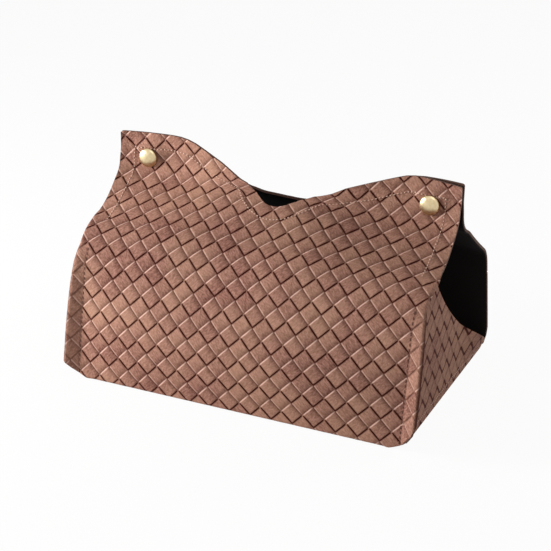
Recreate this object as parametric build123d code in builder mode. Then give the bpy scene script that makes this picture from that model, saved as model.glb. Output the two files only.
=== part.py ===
"""Tissue box holder of folded leather, closed at the top by two snap fasteners.

The leather tray has a base, a front wall that folds over into half a roof, and a wing sewn to the
front wall at each end.  The back panel is joined to the base only, so it swings open, and its upper
part leans over to meet the front flap.  Each flap ends in two upright ears that a snap holds together.

Frame: millimetres, +X along the length, +Y to the back, +Z up, origin at the centre of the underside.
"""

import os
from math import cos, radians, sin, tan

from build123d import *

os.makedirs("parts", exist_ok=True)

# Sheet materials
leather = 1.6  # embossed outer leather
lining = 0.6  # dark lining bonded to its inner face
fold_gap = 0.3  # slit between two panels that turn on each other

# Tray
base_length = 200.0  # over the outer faces of the end wings
base_depth = 139.0  # between the sharp corners of the front and back folds
base_bend = 5.0  # outer radius of the folds along the base
base_upturn = 7.0  # leather turned up from the base before each wall begins

# Front and back panels, given by their outer faces
panel_overhang = 5.3  # how far the panels stand out past the wings at each end
front_fold_height = 80.0
front_fold_inset = 14.0  # from the base corner inwards
front_ear = 24.0  # height of the front ears, from the line where the roof turns up into them
flap_line = 25.4  # from the front fold up the roof to the line where the flap bends
back_fold_height = 71.0
back_fold_inset = 15.5
back_ear = 26.0  # height of the back ears
fold_bend = 14.0  # outer radius of the folds between walls and roof
foot_bend = 6.0  # outer radius at the foot of the ears
bend_margin = 0.5  # flat leather kept beside a bend where a panel ends

# Top edge of the flaps, seen from the front
ear_height = 131.0
ear_gap = 3.6  # between the linings of the two ears
ear_corner = 3.0
shoulder_bend = 40.0
dip_depth = 27.0  # from the top of the ears to the bottom of the dip
dip_bend = 45.0
dip_slope = 26.5  # degrees, of the straight stretch between dip and shoulder

# Sewn corners and end wings
seam_inset = 1.5  # the corner seam stands this far inside the wing's outer face
flange_width = 10.3  # leather outside the corner seam
flange_flare = 29.0  # degrees that this leather stands forward of the front wall
flange_corner = 12.0  # radius at the foot of the sewn corner
wing_tail = 8.5  # height left at the back end of a wing
wing_sag = 7.5  # hollow of the wing's top edge
wing_gap = 1.0  # clearance between wing and back panel
wing_lining_lift = 0.6  # the wing's lining stops this far above its foot

# Snap fasteners
snap_inset = 18.0  # from the panel's side edge
snap_drop = 15.0  # below the ear's top edge
rivet_clearance = 0.05
cap_radius = 5.5
cap_height = 3.4
cap_rim = 0.9
cap_shank_radius = 1.7
crimp_radius = 2.3
crimp_height = 0.25
socket_flange_radius = 5.2
socket_flange_height = 0.5
socket_radius = 4.3
socket_height = 2.2
socket_floor = 0.5
socket_bore_radius = 2.8
spring_wire = 0.6  # square wire
spring_groove_clearance = 0.05
spring_opening = 40.0  # degrees cut out of the spring ring
stud_flange_radius = 4.4
stud_flange_height = 0.6
stud_radius = 2.0
stud_height = 1.9  # above the stud's flange
stud_nose = 1.1  # height of the tapered end
stud_taper = 0.7  # how much that end narrows
stud_wall = 0.7
post_radius = 1.2
post_head_radius = 4.8
post_head_height = 1.1
post_head_chamfer = 0.6

# Derived places
panel_half = base_length / 2 + panel_overhang
sheet = leather + lining
ear_face = ear_gap / 2 + sheet
wing_inner = base_length / 2 - leather
base_half = wing_inner - lining
seam_x = base_length / 2 - seam_inset
flange_reach = seam_x + flange_width * cos(radians(flange_flare))
snap_x = panel_half - snap_inset
snap_z = ear_height - snap_drop

front_base = Vector(-base_depth / 2, 0)
front_fold = Vector(-base_depth / 2 + front_fold_inset, front_fold_height)
front_foot = Vector(-ear_face, ear_height - front_ear)
front_top = Vector(-ear_face, ear_height)
back_base = Vector(base_depth / 2, 0)
back_fold = Vector(base_depth / 2 - back_fold_inset, back_fold_height)
back_foot = Vector(ear_face, ear_height - back_ear)
back_top = Vector(ear_face, ear_height)


def along(start, end, distance):
    """Point at a distance from start on the line towards end."""
    return start + (end - start).normalized() * distance


def bend_length(before, corner, after, radius):
    """Leather that a rounded bend takes up on each side of its sharp corner, with a flat margin."""
    turn = (corner - before).get_angle(after - corner)
    return radius * tan(radians(turn / 2)) + bend_margin


front_bend = bend_length(front_base, front_fold, front_foot, fold_bend)
back_bend = bend_length(back_base, back_fold, back_foot, fold_bend)
front_wall_start = along(front_base, front_fold, base_upturn)
front_shoulder = along(front_fold, front_base, front_bend)
front_wall_end = along(front_fold, front_foot, flap_line)
front_flap_start = along(front_fold, front_foot, flap_line + fold_gap)
back_base_end = along(back_base, back_fold, base_upturn)
back_wall_start = along(back_base, back_fold, base_upturn + fold_gap)
back_wall_end = along(back_fold, back_base, back_bend + fold_gap)
back_flap_start = along(back_fold, back_base, back_bend)

front_lean = front_fold_inset / front_fold_height
back_lean = back_fold_inset / back_fold_height
front_wall_depth = leather / cos((front_fold - front_base).get_angle(Vector(0, 1)) * radians(1))
back_wall_depth = (sheet + wing_gap) / cos((back_fold - back_base).get_angle(Vector(0, 1)) * radians(1))


def save(piece, name):
    """Label one finished piece and write it as its own STEP file."""
    piece.part.label = name
    export_step(piece.part, f"parts/{name}.step")


def sheet_section(corners, bends, inset, thickness):
    """Section of a sheet in the YZ plane, from inset to inset + thickness to the right of its outer line."""
    with BuildSketch(Plane.YZ) as section:
        with BuildLine():
            if bends:
                FilletPolyline(*corners, radius=bends)
            else:
                Line(*corners)
            if inset:
                offset(amount=inset, side=Side.RIGHT, closed=False)
            offset(amount=thickness, side=Side.RIGHT)
        make_face()
    return section.sketch


def top_edge_outline():
    """Front view of a panel below its top edge: square ears, sloping shoulders and a rounded dip."""
    slope = radians(dip_slope)
    dip_vertex = ear_height - dip_depth - dip_bend * (1 / cos(slope) - 1)
    shoulder_x = (ear_height - dip_vertex) / tan(slope)
    with BuildSketch(Plane.XZ) as outline:
        with BuildLine():
            edge = FilletPolyline(
                (-panel_half, 0),
                (-panel_half, ear_height),
                (-shoulder_x, ear_height),
                (0, dip_vertex),
                (shoulder_x, ear_height),
                (panel_half, ear_height),
                (panel_half, 0),
                radius=[ear_corner, shoulder_bend, dip_bend, shoulder_bend, ear_corner],
            )
            Line(edge @ 1, edge @ 0)
        make_face()
    return outline.sketch


def rivet_holes(radius):
    """Both rivet holes of a flap, on the front view plane."""
    with BuildSketch(Plane.XZ) as holes:
        with Locations((-snap_x, snap_z), (snap_x, snap_z)):
            Circle(radius)
    return holes.sketch


def corner_outline():
    """Front view of the sewn corners, rounded at the foot."""
    with BuildSketch(Plane.XZ) as outline:
        with BuildLine():
            edge = FilletPolyline(
                (-flange_reach, ear_height),
                (-flange_reach, 0),
                (flange_reach, 0),
                (flange_reach, ear_height),
                radius=flange_corner,
            )
            Line(edge @ 1, edge @ 0)
        make_face()
    return outline.sketch


def flange_section(height, reach, forward, ply):
    """Plan section of one leather ply outside the right-hand corner seam, at a height."""
    face = -base_depth / 2 + front_lean * height + ply * front_wall_depth
    with BuildSketch(Plane.XY.offset(height)) as section:
        with BuildLine():
            Polyline(
                (seam_x, face),
                (reach, face - forward),
                (reach, face - forward + front_wall_depth),
                (seam_x, face + front_wall_depth),
                close=True,
            )
        make_face()
    return section.sketch


def sewn_flange(ply):
    """Sections at the foot and the top of one ply of the right-hand sewn corner, for a loft."""
    forward = flange_width * sin(radians(flange_flare))
    foot = flange_section(0, flange_reach, forward, ply)
    top = flange_section(front_shoulder.Y, panel_half, 0, ply)
    return [foot, top]


def wing_outline():
    """Side view of a wing: it follows the inside of the front wall and roof, then sweeps down to the back."""
    tail_top = (base_depth / 2 - back_wall_depth - back_lean * wing_tail, wing_tail)
    tail_foot = (base_depth / 2 - back_wall_depth, 0)
    with BuildSketch(Plane.YZ) as outline:
        with BuildLine() as edge:
            FilletPolyline(front_base, front_fold, front_wall_end, radius=fold_bend)
            offset(amount=leather, side=Side.RIGHT, closed=False)
            foot, tip = sorted((edge.line @ 0, edge.line @ 1), key=lambda point: point.Y)
            SagittaArc(tip, tail_top, -wing_sag)
            Polyline(tail_top, tail_foot, foot)
        make_face()
    return outline.sketch


# Base: a flat sheet turned up along the front and the back
base_line = [back_base_end, back_base, front_base, front_wall_start]
base_bends = [base_bend, base_bend]

with BuildPart() as base_panel:
    extrude(sheet_section(base_line, base_bends, 0, leather), amount=base_half, both=True)
save(base_panel, "base_panel")

with BuildPart() as base_lining:
    extrude(sheet_section(base_line, base_bends, leather, lining), amount=base_half, both=True)
save(base_lining, "base_lining")

# Front wall: flat between the corner seams, folded over at the top, with a flared flange at each side
front_wall_line = [front_wall_start, front_fold, front_wall_end]
shoulder_line = [front_shoulder, front_fold, front_wall_end]

with BuildPart() as front_wall:
    extrude(sheet_section(front_wall_line, [fold_bend], 0, leather), amount=seam_x, both=True)
    extrude(sheet_section(shoulder_line, [fold_bend], 0, leather), amount=panel_half, both=True)
    flange = loft(sewn_flange(ply=0), ruled=True)
    mirror(flange, about=Plane.YZ)
    extrude(corner_outline(), amount=base_depth, both=True, mode=Mode.INTERSECT)
save(front_wall, "front_wall")

with BuildPart() as front_wall_lining:
    extrude(
        sheet_section(front_wall_line, [fold_bend], leather, lining),
        amount=base_half,
        both=True,
    )
save(front_wall_lining, "front_wall_lining")

# End wings: one ply sewn behind the front wall's flange, the rest closing the end of the tray
with BuildPart() as right_wing:
    extrude(wing_outline().moved(Location((wing_inner, 0, 0))), amount=leather)
    loft(sewn_flange(ply=1), ruled=True)
    split(bisect_by=Plane.XY, keep=Keep.TOP)
    extrude(corner_outline(), amount=base_depth, both=True, mode=Mode.INTERSECT)
save(right_wing, "right_wing")

with BuildPart() as right_wing_lining:
    extrude(wing_outline().moved(Location((base_half, 0, 0))), amount=lining)
    split(bisect_by=Plane.XY.offset(wing_lining_lift), keep=Keep.TOP)
save(right_wing_lining, "right_wing_lining")

with BuildPart() as left_wing:
    mirror(right_wing.part, about=Plane.YZ)
save(left_wing, "left_wing")

with BuildPart() as left_wing_lining:
    mirror(right_wing_lining.part, about=Plane.YZ)
save(left_wing_lining, "left_wing_lining")

# Front flap: the rest of the roof's front half, turned up into two ears
front_flap_line = [front_flap_start, front_foot, front_top]

with BuildPart() as front_flap:
    extrude(sheet_section(front_flap_line, [foot_bend], 0, leather), amount=panel_half, both=True)
    extrude(top_edge_outline(), amount=base_depth, both=True, mode=Mode.INTERSECT)
    extrude(rivet_holes(cap_shank_radius + rivet_clearance), amount=ear_face, both=True, mode=Mode.SUBTRACT)
save(front_flap, "front_flap")

with BuildPart() as front_flap_lining:
    extrude(
        sheet_section(front_flap_line, [foot_bend], leather, lining),
        amount=panel_half,
        both=True,
    )
    extrude(top_edge_outline(), amount=base_depth, both=True, mode=Mode.INTERSECT)
    extrude(rivet_holes(cap_shank_radius + rivet_clearance), amount=ear_face, both=True, mode=Mode.SUBTRACT)
save(front_flap_lining, "front_flap_lining")

# Back panel: a flat wall that swings on the base, and a flap that folds over from its top
back_wall_line = [back_wall_end, back_wall_start]
back_flap_line = [back_top, back_foot, back_fold, back_flap_start]
back_bends = [foot_bend, fold_bend]

with BuildPart() as back_wall:
    extrude(sheet_section(back_wall_line, [], 0, leather), amount=panel_half, both=True)
save(back_wall, "back_wall")

with BuildPart() as back_wall_lining:
    extrude(sheet_section(back_wall_line, [], leather, lining), amount=panel_half, both=True)
save(back_wall_lining, "back_wall_lining")

with BuildPart() as back_flap:
    extrude(sheet_section(back_flap_line, back_bends, 0, leather), amount=panel_half, both=True)
    extrude(top_edge_outline(), amount=base_depth, both=True, mode=Mode.INTERSECT)
    extrude(rivet_holes(post_radius + rivet_clearance), amount=ear_face, both=True, mode=Mode.SUBTRACT)
save(back_flap, "back_flap")

with BuildPart() as back_flap_lining:
    extrude(
        sheet_section(back_flap_line, back_bends, leather, lining),
        amount=panel_half,
        both=True,
    )
    extrude(top_edge_outline(), amount=base_depth, both=True, mode=Mode.INTERSECT)
    extrude(rivet_holes(post_radius + rivet_clearance), amount=ear_face, both=True, mode=Mode.SUBTRACT)
save(back_flap_lining, "back_flap_lining")

# Snap fasteners: every piece is turned about the snap's axis, which runs along Y through the ears
lining_face = ear_gap / 2
socket_mouth = -lining_face + socket_height
socket_bottom = -lining_face + socket_floor
stud_seat = lining_face - stud_flange_height
stud_tip = stud_seat - stud_height
spring_y = (socket_bottom + crimp_height + socket_mouth) / 2
spring_ring_radius = socket_bore_radius + spring_wire / 2
groove_half = spring_wire / 2 + spring_groove_clearance
groove_radius = spring_ring_radius + groove_half

for side, x in (("left", -snap_x), ("right", snap_x)):
    snap_plane = Plane(origin=(x, 0, snap_z), x_dir=(1, 0, 0), z_dir=(0, 0, 1))
    snap_axis = Axis((x, 0, snap_z), (0, 1, 0))

    with BuildPart() as cap:
        with BuildSketch(snap_plane):
            with BuildLine():
                dome_top = (0, -ear_face - cap_height)
                rim_top = (cap_radius, -ear_face - cap_rim)
                TangentArc(dome_top, rim_top, tangent=(1, 0))
                Polyline(
                    rim_top,
                    (cap_radius, -ear_face),
                    (cap_shank_radius, -ear_face),
                    (cap_shank_radius, socket_bottom),
                    (crimp_radius, socket_bottom),
                    (crimp_radius, socket_bottom + crimp_height),
                    (0, socket_bottom + crimp_height),
                    dome_top,
                )
            make_face()
        revolve(axis=snap_axis)
    save(cap, f"{side}_snap_cap")

    with BuildPart() as socket:
        with BuildSketch(snap_plane):
            with BuildLine():
                Polyline(
                    (cap_shank_radius + rivet_clearance, -lining_face),
                    (socket_flange_radius, -lining_face),
                    (socket_flange_radius, -lining_face + socket_flange_height),
                    (socket_radius, -lining_face + socket_flange_height),
                    (socket_radius, socket_mouth),
                    (socket_bore_radius, socket_mouth),
                    (socket_bore_radius, spring_y + groove_half),
                    (groove_radius, spring_y + groove_half),
                    (groove_radius, spring_y - groove_half),
                    (socket_bore_radius, spring_y - groove_half),
                    (socket_bore_radius, socket_bottom),
                    (cap_shank_radius + rivet_clearance, socket_bottom),
                    close=True,
                )
            make_face()
        revolve(axis=snap_axis)
    save(socket, f"{side}_snap_socket")

    with BuildPart() as spring:
        with BuildSketch(snap_plane):
            with Locations((spring_ring_radius, spring_y)):
                Rectangle(spring_wire, spring_wire)
        revolve(axis=snap_axis, revolution_arc=360 - spring_opening)
    save(spring, f"{side}_socket_spring")

    with BuildPart() as stud:
        with BuildSketch(snap_plane):
            with BuildLine():
                bore_radius = post_radius + rivet_clearance
                bore_end = stud_tip + stud_wall
                tip = (0, stud_tip)
                Polyline(
                    tip,
                    (stud_radius - stud_taper, stud_tip),
                    (stud_radius, stud_tip + stud_nose),
                    (stud_radius, stud_seat),
                    (stud_flange_radius, stud_seat),
                    (stud_flange_radius, lining_face),
                    (bore_radius, lining_face),
                    (bore_radius, bore_end),
                    (0, bore_end),
                    tip,
                )
            make_face()
        revolve(axis=snap_axis)
    save(stud, f"{side}_snap_stud")

    with BuildPart() as post:
        with BuildSketch(snap_plane):
            with BuildLine():
                post_end = (0, bore_end + rivet_clearance)
                head_top = (0, ear_face + post_head_height)
                Polyline(
                    head_top,
                    (post_head_radius - post_head_chamfer, ear_face + post_head_height),
                    (post_head_radius, ear_face + post_head_height - post_head_chamfer),
                    (post_head_radius, ear_face),
                    (post_radius, ear_face),
                    (post_radius, bore_end + rivet_clearance),
                    post_end,
                    head_top,
                )
            make_face()
        revolve(axis=snap_axis)
    save(post, f"{side}_snap_post")
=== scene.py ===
"""Looks of the folded leather tissue box holder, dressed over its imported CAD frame.

Every sheet is drawn flat, with its basket weave pressed into it, cut to its outline, given its
thickness and then folded along the same lines as the CAD panels.  Sizes are in millimetres until a
piece is finished, when its mesh is scaled to metres.
"""

import logging
import math
import random
from collections.abc import Callable, Sequence
from dataclasses import dataclass, field
from enum import Enum
from functools import cached_property, partial

import bmesh
import bpy
from mathutils import Matrix, Vector, noise
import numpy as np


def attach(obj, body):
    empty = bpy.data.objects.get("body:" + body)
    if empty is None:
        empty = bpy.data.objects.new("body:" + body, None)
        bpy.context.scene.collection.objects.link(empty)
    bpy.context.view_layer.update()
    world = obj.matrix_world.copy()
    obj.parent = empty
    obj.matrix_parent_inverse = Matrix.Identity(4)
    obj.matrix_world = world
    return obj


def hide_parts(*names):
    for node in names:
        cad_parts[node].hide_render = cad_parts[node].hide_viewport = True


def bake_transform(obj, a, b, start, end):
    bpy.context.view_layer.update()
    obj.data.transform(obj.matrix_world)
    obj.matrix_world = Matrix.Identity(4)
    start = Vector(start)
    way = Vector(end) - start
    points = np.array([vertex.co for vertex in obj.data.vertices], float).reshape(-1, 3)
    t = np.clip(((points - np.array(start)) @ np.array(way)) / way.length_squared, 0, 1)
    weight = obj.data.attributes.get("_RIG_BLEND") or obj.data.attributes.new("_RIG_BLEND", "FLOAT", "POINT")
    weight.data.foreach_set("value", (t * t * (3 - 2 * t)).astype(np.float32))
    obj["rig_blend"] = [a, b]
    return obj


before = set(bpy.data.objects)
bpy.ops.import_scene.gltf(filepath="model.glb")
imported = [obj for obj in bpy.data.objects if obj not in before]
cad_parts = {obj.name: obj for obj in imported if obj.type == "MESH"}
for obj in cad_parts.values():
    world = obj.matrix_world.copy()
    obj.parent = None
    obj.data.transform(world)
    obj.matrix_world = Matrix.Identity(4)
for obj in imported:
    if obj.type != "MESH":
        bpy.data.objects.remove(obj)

LOG = logging.getLogger("tissue_box_holder")
MM = 0.001
PRESSED_EDGE = 0.12  # depth of a cut edge below the crowns of the strands
PAST = 4.0  # how far a cut runs past the end of its sheet
REACH = 130.0  # a place beyond both ends of every sheet
HALVINGS = 40  # steps of a search for a place on a fold
JOINED = 1e-4  # points nearer than this are one
CLEAR = 0.1  # how far a slanting cut ends past the side that it runs out at

Mesh = bmesh.types.BMesh
Piece = bpy.types.Object
Material = bpy.types.Material
Flat = tuple[float, float]
Line = Sequence[Flat]
Fold = Callable[[Vector], Vector]


class Body(Enum):
    """CAD bodies that the pieces move with."""

    TRAY = "tray"
    FRONT_FLAP = "front_flap"
    BACK_WALL = "back_wall"
    BACK_FLAP = "back_flap"


class Slot(Enum):
    """Material slots of the record."""

    LEATHER = "leather"
    LINING = "lining"
    BRASS = "brass"


class End(Enum):
    """Ends of the holder along X."""

    LEFT = -1
    RIGHT = 1


class Hold(Enum):
    """How a sheet is held."""

    FOLDED = "folded"
    LAID = "laid"


def linear(code: str) -> tuple[float, float, float, float]:
    """Turn an sRGB hex colour into a linear one.

    Args:
        code: Colour such as "#A57E6E".

    Returns:
        Linear red, green, blue and an alpha of 1.
    """
    channels = [int(code[k : k + 2], 16) / 255 for k in (1, 3, 5)]
    lit = [c / 12.92 if c <= 0.04045 else ((c + 0.055) / 1.055) ** 2.4 for c in channels]
    return (*lit, 1.0)


def add_node(
    tree: bpy.types.NodeTree, kind: str, inputs: dict | None = None, output: str | int = 0, **settings
) -> bpy.types.NodeSocket | None:
    """Add one shader node.

    Args:
        tree: Node tree to add to.
        kind: Node type, without the words it starts with.
        inputs: Value, or output socket to link, for each input by name or index.
        output: Name or index of the output wanted.
        **settings: Properties of the node.

    Returns:
        That output, or nothing for a node that ends its tree.
    """
    made = tree.nodes.new(f"ShaderNode{kind}")
    for name, value in settings.items():
        setattr(made, name, value)
    for key, value in (inputs or {}).items():
        if isinstance(value, bpy.types.NodeSocket):
            tree.links.new(value, made.inputs[key])
        else:
            made.inputs[key].default_value = value
    return made.outputs[output] if made.outputs else None


def new_material(name: str) -> tuple[Material, Callable]:
    """Start an empty node material.

    Args:
        name: Name of the material.

    Returns:
        The material and the function that adds a node to it.
    """
    material = bpy.data.materials.new(name)
    material.use_nodes = True
    material.node_tree.nodes.clear()
    return material, partial(add_node, material.node_tree)


def smoothstep(low: float, high: float, value: float) -> float:
    """Ease from 0 at low to 1 at high."""
    share = min(1.0, max(0.0, (value - low) / (high - low)))
    return share * share * (3 - 2 * share)


@dataclass(frozen=True)
class EmbossedLeather:
    """Imitation leather pressed with a basket weave.

    A thin coloured film over backing: satin, so each strand has a soft highlight along its crown, and a fine
    grain breaks the gloss.  The dark in the grooves is partly their pigment and mostly painted shadow and
    shade, and the pale strand rims are a painted highlight.
    """

    name: str = "embossed_imitation_leather"
    strand: str = "#BC8C7C"
    strand_cool: str = "#7F5548"
    strand_tan: str = "#AA8668"
    # colour of the grooves: partly their pigment, mostly painted shadow and shade
    groove_pigment_and_shade: str = "#3C0900"
    # painted highlight on the lit rims of the strands
    lip_highlight_colour: str = "#DDB6A6"
    roughness: Flat = (0.58, 0.75)
    ior: float = 1.16
    grain_mm: float = 0.9  # real grain is about 0.3 mm, drawn coarser so that it shows
    streak_mm: Flat = (1.9, 0.85)
    mottle_mm: float = 30.0
    weights: Flat = (0.3, 2.5)  # of a cell's own tone and of the streaks, next to the mottle
    cool_range: Flat = (1.35, 2.4)  # their sum where the strand is all cool and where it is not at all
    tan_weight: float = 0.15  # of a cell's own tone in where the tan lies
    tan_range: Flat = (0.4, 0.8)
    tan_most: float = 0.42
    # strength of that painted highlight
    lip_highlight_strength: float = 0.88
    relief_mm: float = 0.4
    relief: Flat = (0.8, 0.8)  # strength of the relief, and weight of the streaks in it

    def material(self) -> Material:
        """Build the node material, which reads the attributes of the weave.

        Returns:
            The material.
        """
        material, node = new_material(self.name)
        place = node("TexCoord", output="Object")
        names = ("groove_pigment_and_shade", "rub", "tone")
        groove_pigment_and_shade, rub, tone = (node("Attribute", output="Fac", attribute_name=name) for name in names)
        strip = node("Attribute", output="Vector", attribute_name="strip")
        strip = node("Mapping", {"Vector": strip, "Scale": (*(1 / size for size in self.streak_mm), 1.0)})
        mottle = node("TexNoise", {"Vector": place, "Scale": 1 / (self.mottle_mm * MM), "Detail": 3.0})
        streak = node("TexNoise", {"Vector": strip, "Scale": 1.0, "Detail": 3.0, "Roughness": 0.6})
        fine = {"Scale": 1 / (self.grain_mm * MM), "Detail": 3.0, "Roughness": 0.65}
        grain = node("TexNoise", {"Vector": place, **fine})
        pale = mottle
        for part, weight in zip((tone, streak), self.weights):
            pale = node("Math", {0: part, 1: weight, 2: pale}, operation="MULTIPLY_ADD")
        low, high = self.cool_range
        pale = node("MapRange", {"Value": pale, "From Min": low, "From Max": high})
        tan = node("Math", {0: tone, 1: self.tan_weight, 2: mottle}, operation="MULTIPLY_ADD")
        low, high = self.tan_range
        tan = node("MapRange", {"Value": tan, "From Min": low, "From Max": high, "To Max": self.tan_most})
        # the pale rims are a painted highlight; the dark of the grooves is partly pigment, mostly painted
        # shadow and shade
        lit_lip = node("Math", {0: rub, 1: self.lip_highlight_strength}, operation="MULTIPLY")
        base = linear(self.strand_cool)
        layers = ((pale, self.strand), (tan, self.strand_tan), (lit_lip, self.lip_highlight_colour), (groove_pigment_and_shade, self.groove_pigment_and_shade))
        for share, colour in layers:
            base = node("Mix", {"Factor": share, "A": base, "B": linear(colour)}, 2, data_type="RGBA")
        low, high = self.roughness
        rough = node("MapRange", {"Value": grain, "To Min": low, "To Max": high})
        strength, weight = self.relief
        relief = node("Math", {0: streak, 1: weight, 2: grain}, operation="MULTIPLY_ADD")
        bump = node("Bump", {"Height": relief, "Strength": strength, "Distance": self.relief_mm * MM})
        looks = {"Base Color": base, "Roughness": rough, "Normal": bump, "IOR": self.ior}
        node("OutputMaterial", {"Surface": node("BsdfPrincipled", looks)})
        return material


@dataclass(frozen=True)
class PlainFinish:
    """One colour with a little noise in its tone, its gloss and, but for metal, its surface.

    Used where the real surface has no pattern of its own.
    """

    name: str
    colour: str
    shade: str
    roughness: Flat
    grain_mm: float
    relief_mm: float = 0.0
    ior: float = 1.4
    metallic: bool = False
    detail: float = 3.0
    strength: float = 0.5

    def material(self) -> Material:
        """Build the node material.

        Returns:
            The material.
        """
        material, node = new_material(self.name)
        place = node("TexCoord", output="Object")
        scale = 1 / (self.grain_mm * MM)
        grain = node("TexNoise", {"Vector": place, "Scale": scale, "Detail": self.detail})
        colours = {"A": linear(self.shade), "B": linear(self.colour)}
        base = node("Mix", {"Factor": grain, **colours}, 2, data_type="RGBA")
        low, high = self.roughness
        rough = node("MapRange", {"Value": grain, "To Min": low, "To Max": high})
        looks = {"Base Color": base, "Roughness": rough}
        if self.metallic:
            looks["Metallic"] = 1.0
        else:
            distance = self.relief_mm * MM
            looks["Normal"] = node("Bump", {"Height": grain, "Strength": self.strength, "Distance": distance})
            looks["IOR"] = self.ior
        node("OutputMaterial", {"Surface": node("BsdfPrincipled", looks)})
        return material


# Bare fibres of a cut edge: a dull darker brown that outlines each sheet.
CUT_EDGE = PlainFinish("cut_leather_edge", "#6A4C40", "#48322A", (0.5, 0.65), 0.8, 0.1, 1.2)
# Matt brushed lining: it swallows light, so the inside reads as black.
LINING = PlainFinish("black_lining", "#0F0806", "#080403", (0.75, 0.9), 0.9, 0.08, 1.25)
# Twisted polyester: pale beads with a soft sheen, and a darker copy of the same thread for the corner seams,
# with the seams' shade painted in.
THREAD = PlainFinish("polyester_thread", "#E2C2B0", "#C29C88", (0.5, 0.65), 0.5, 0.06)
SHADED_SEAM_THREAD = PlainFinish("seam_thread_with_painted_shade", "#7A5244", "#5E3A2E", (0.5, 0.65), 0.5, 0.06)
# Barrel polished metal, mirror-like with a faint satin haze: pale gold plated brass, and drawn steel wire.
HAZE = {"grain_mm": 1.6, "detail": 2.0, "metallic": True}
BRASS = PlainFinish("polished_brass", "#E2D2AE", "#C8AE80", (0.26, 0.40), **HAZE)
STEEL = PlainFinish("spring_steel", "#B4B4B2", "#8E8E8C", (0.26, 0.40), **HAZE)


@dataclass
class Finishes:
    """Materials of the whole object, each made once."""

    leather: Material = field(default_factory=EmbossedLeather().material)
    cut_edge: Material = field(default_factory=CUT_EDGE.material)
    lining: Material = field(default_factory=LINING.material)
    thread: Material = field(default_factory=THREAD.material)
    shaded_seam_thread: Material = field(default_factory=SHADED_SEAM_THREAD.material)
    brass: Material = field(default_factory=BRASS.material)
    steel: Material = field(default_factory=STEEL.material)


@dataclass(frozen=True)
class Run:
    """One stretch of a line: straight where its curvature is 0, an arc elsewhere."""

    length: float
    curvature: float = 0.0


def walk(runs: Sequence[Run], distance: float, heading: float = 0.0) -> tuple[float, float, float]:
    """Follow runs from the origin.

    Args:
        runs: Stretches in order; the last is prolonged straight, and so is the first backwards.
        distance: How far to go.
        heading: Angle at the start, in radians.

    Returns:
        The two coordinates reached and the angle there.
    """
    across, up = 0.0, 0.0
    left = distance
    for run in runs:
        step = left if left < 0 else min(left, run.length)
        bend = 0.0 if left < 0 else run.curvature
        if bend:
            turned = heading + bend * step
            across += (math.sin(turned) - math.sin(heading)) / bend
            up += (math.cos(heading) - math.cos(turned)) / bend
            heading = turned
        else:
            across += step * math.cos(heading)
            up += step * math.sin(heading)
        left -= step
        if left <= 0:
            break
    if left > 0:
        across += left * math.cos(heading)
        up += left * math.sin(heading)
    return across, up, heading


def length_of(runs: Sequence[Run]) -> float:
    """Length of some runs together."""
    return sum(run.length for run in runs)


@dataclass(frozen=True)
class FoldLine:
    """Line in the YZ plane that the outer face of a sheet follows: straight runs joined by arcs.

    Outside is to the left of its direction.
    """

    corners: tuple[Flat, ...]
    radii: tuple[float, ...]

    @cached_property
    def heading(self) -> float:
        """Angle of the first straight run."""
        (y0, z0), (y1, z1) = self.corners[:2]
        return math.atan2(z1 - z0, y1 - y0)

    @cached_property
    def runs(self) -> list[Run]:
        """Take the line apart.

        Returns:
            Straight runs and arcs in order.
        """
        points = [Vector(c) for c in self.corners]
        made: list[Run] = []
        taken = 0.0
        for k, radius in enumerate(self.radii, 1):
            side, ahead = points[k] - points[k - 1], points[k + 1] - points[k]
            turn = math.atan2(side.x * ahead.y - side.y * ahead.x, side.dot(ahead))
            reach = radius * math.tan(abs(turn) / 2)
            made.append(Run(side.length - taken - reach))
            made.append(Run(radius * abs(turn), math.copysign(1 / radius, turn)))
            taken = reach
        made.append(Run((points[-1] - points[-2]).length - taken))
        return made

    @cached_property
    def length(self) -> float:
        """Length of the whole line."""
        return length_of(self.runs)

    def arc(self, number: int) -> Flat:
        """Distances at which an arc starts and ends."""
        start = length_of(self.runs[: 2 * number + 1])
        return start, start + self.runs[2 * number + 1].length

    def at(self, distance: float) -> tuple[Vector, Vector]:
        """Find a place on the line.

        Args:
            distance: Length along the line.

        Returns:
            The point and the outward normal there, as vectors in the YZ plane with x = 0.
        """
        y, z, heading = walk(self.runs, distance, self.heading)
        point = Vector((0.0, self.corners[0][0] + y, self.corners[0][1] + z))
        return point, Vector((0.0, -math.sin(heading), math.cos(heading)))


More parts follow.
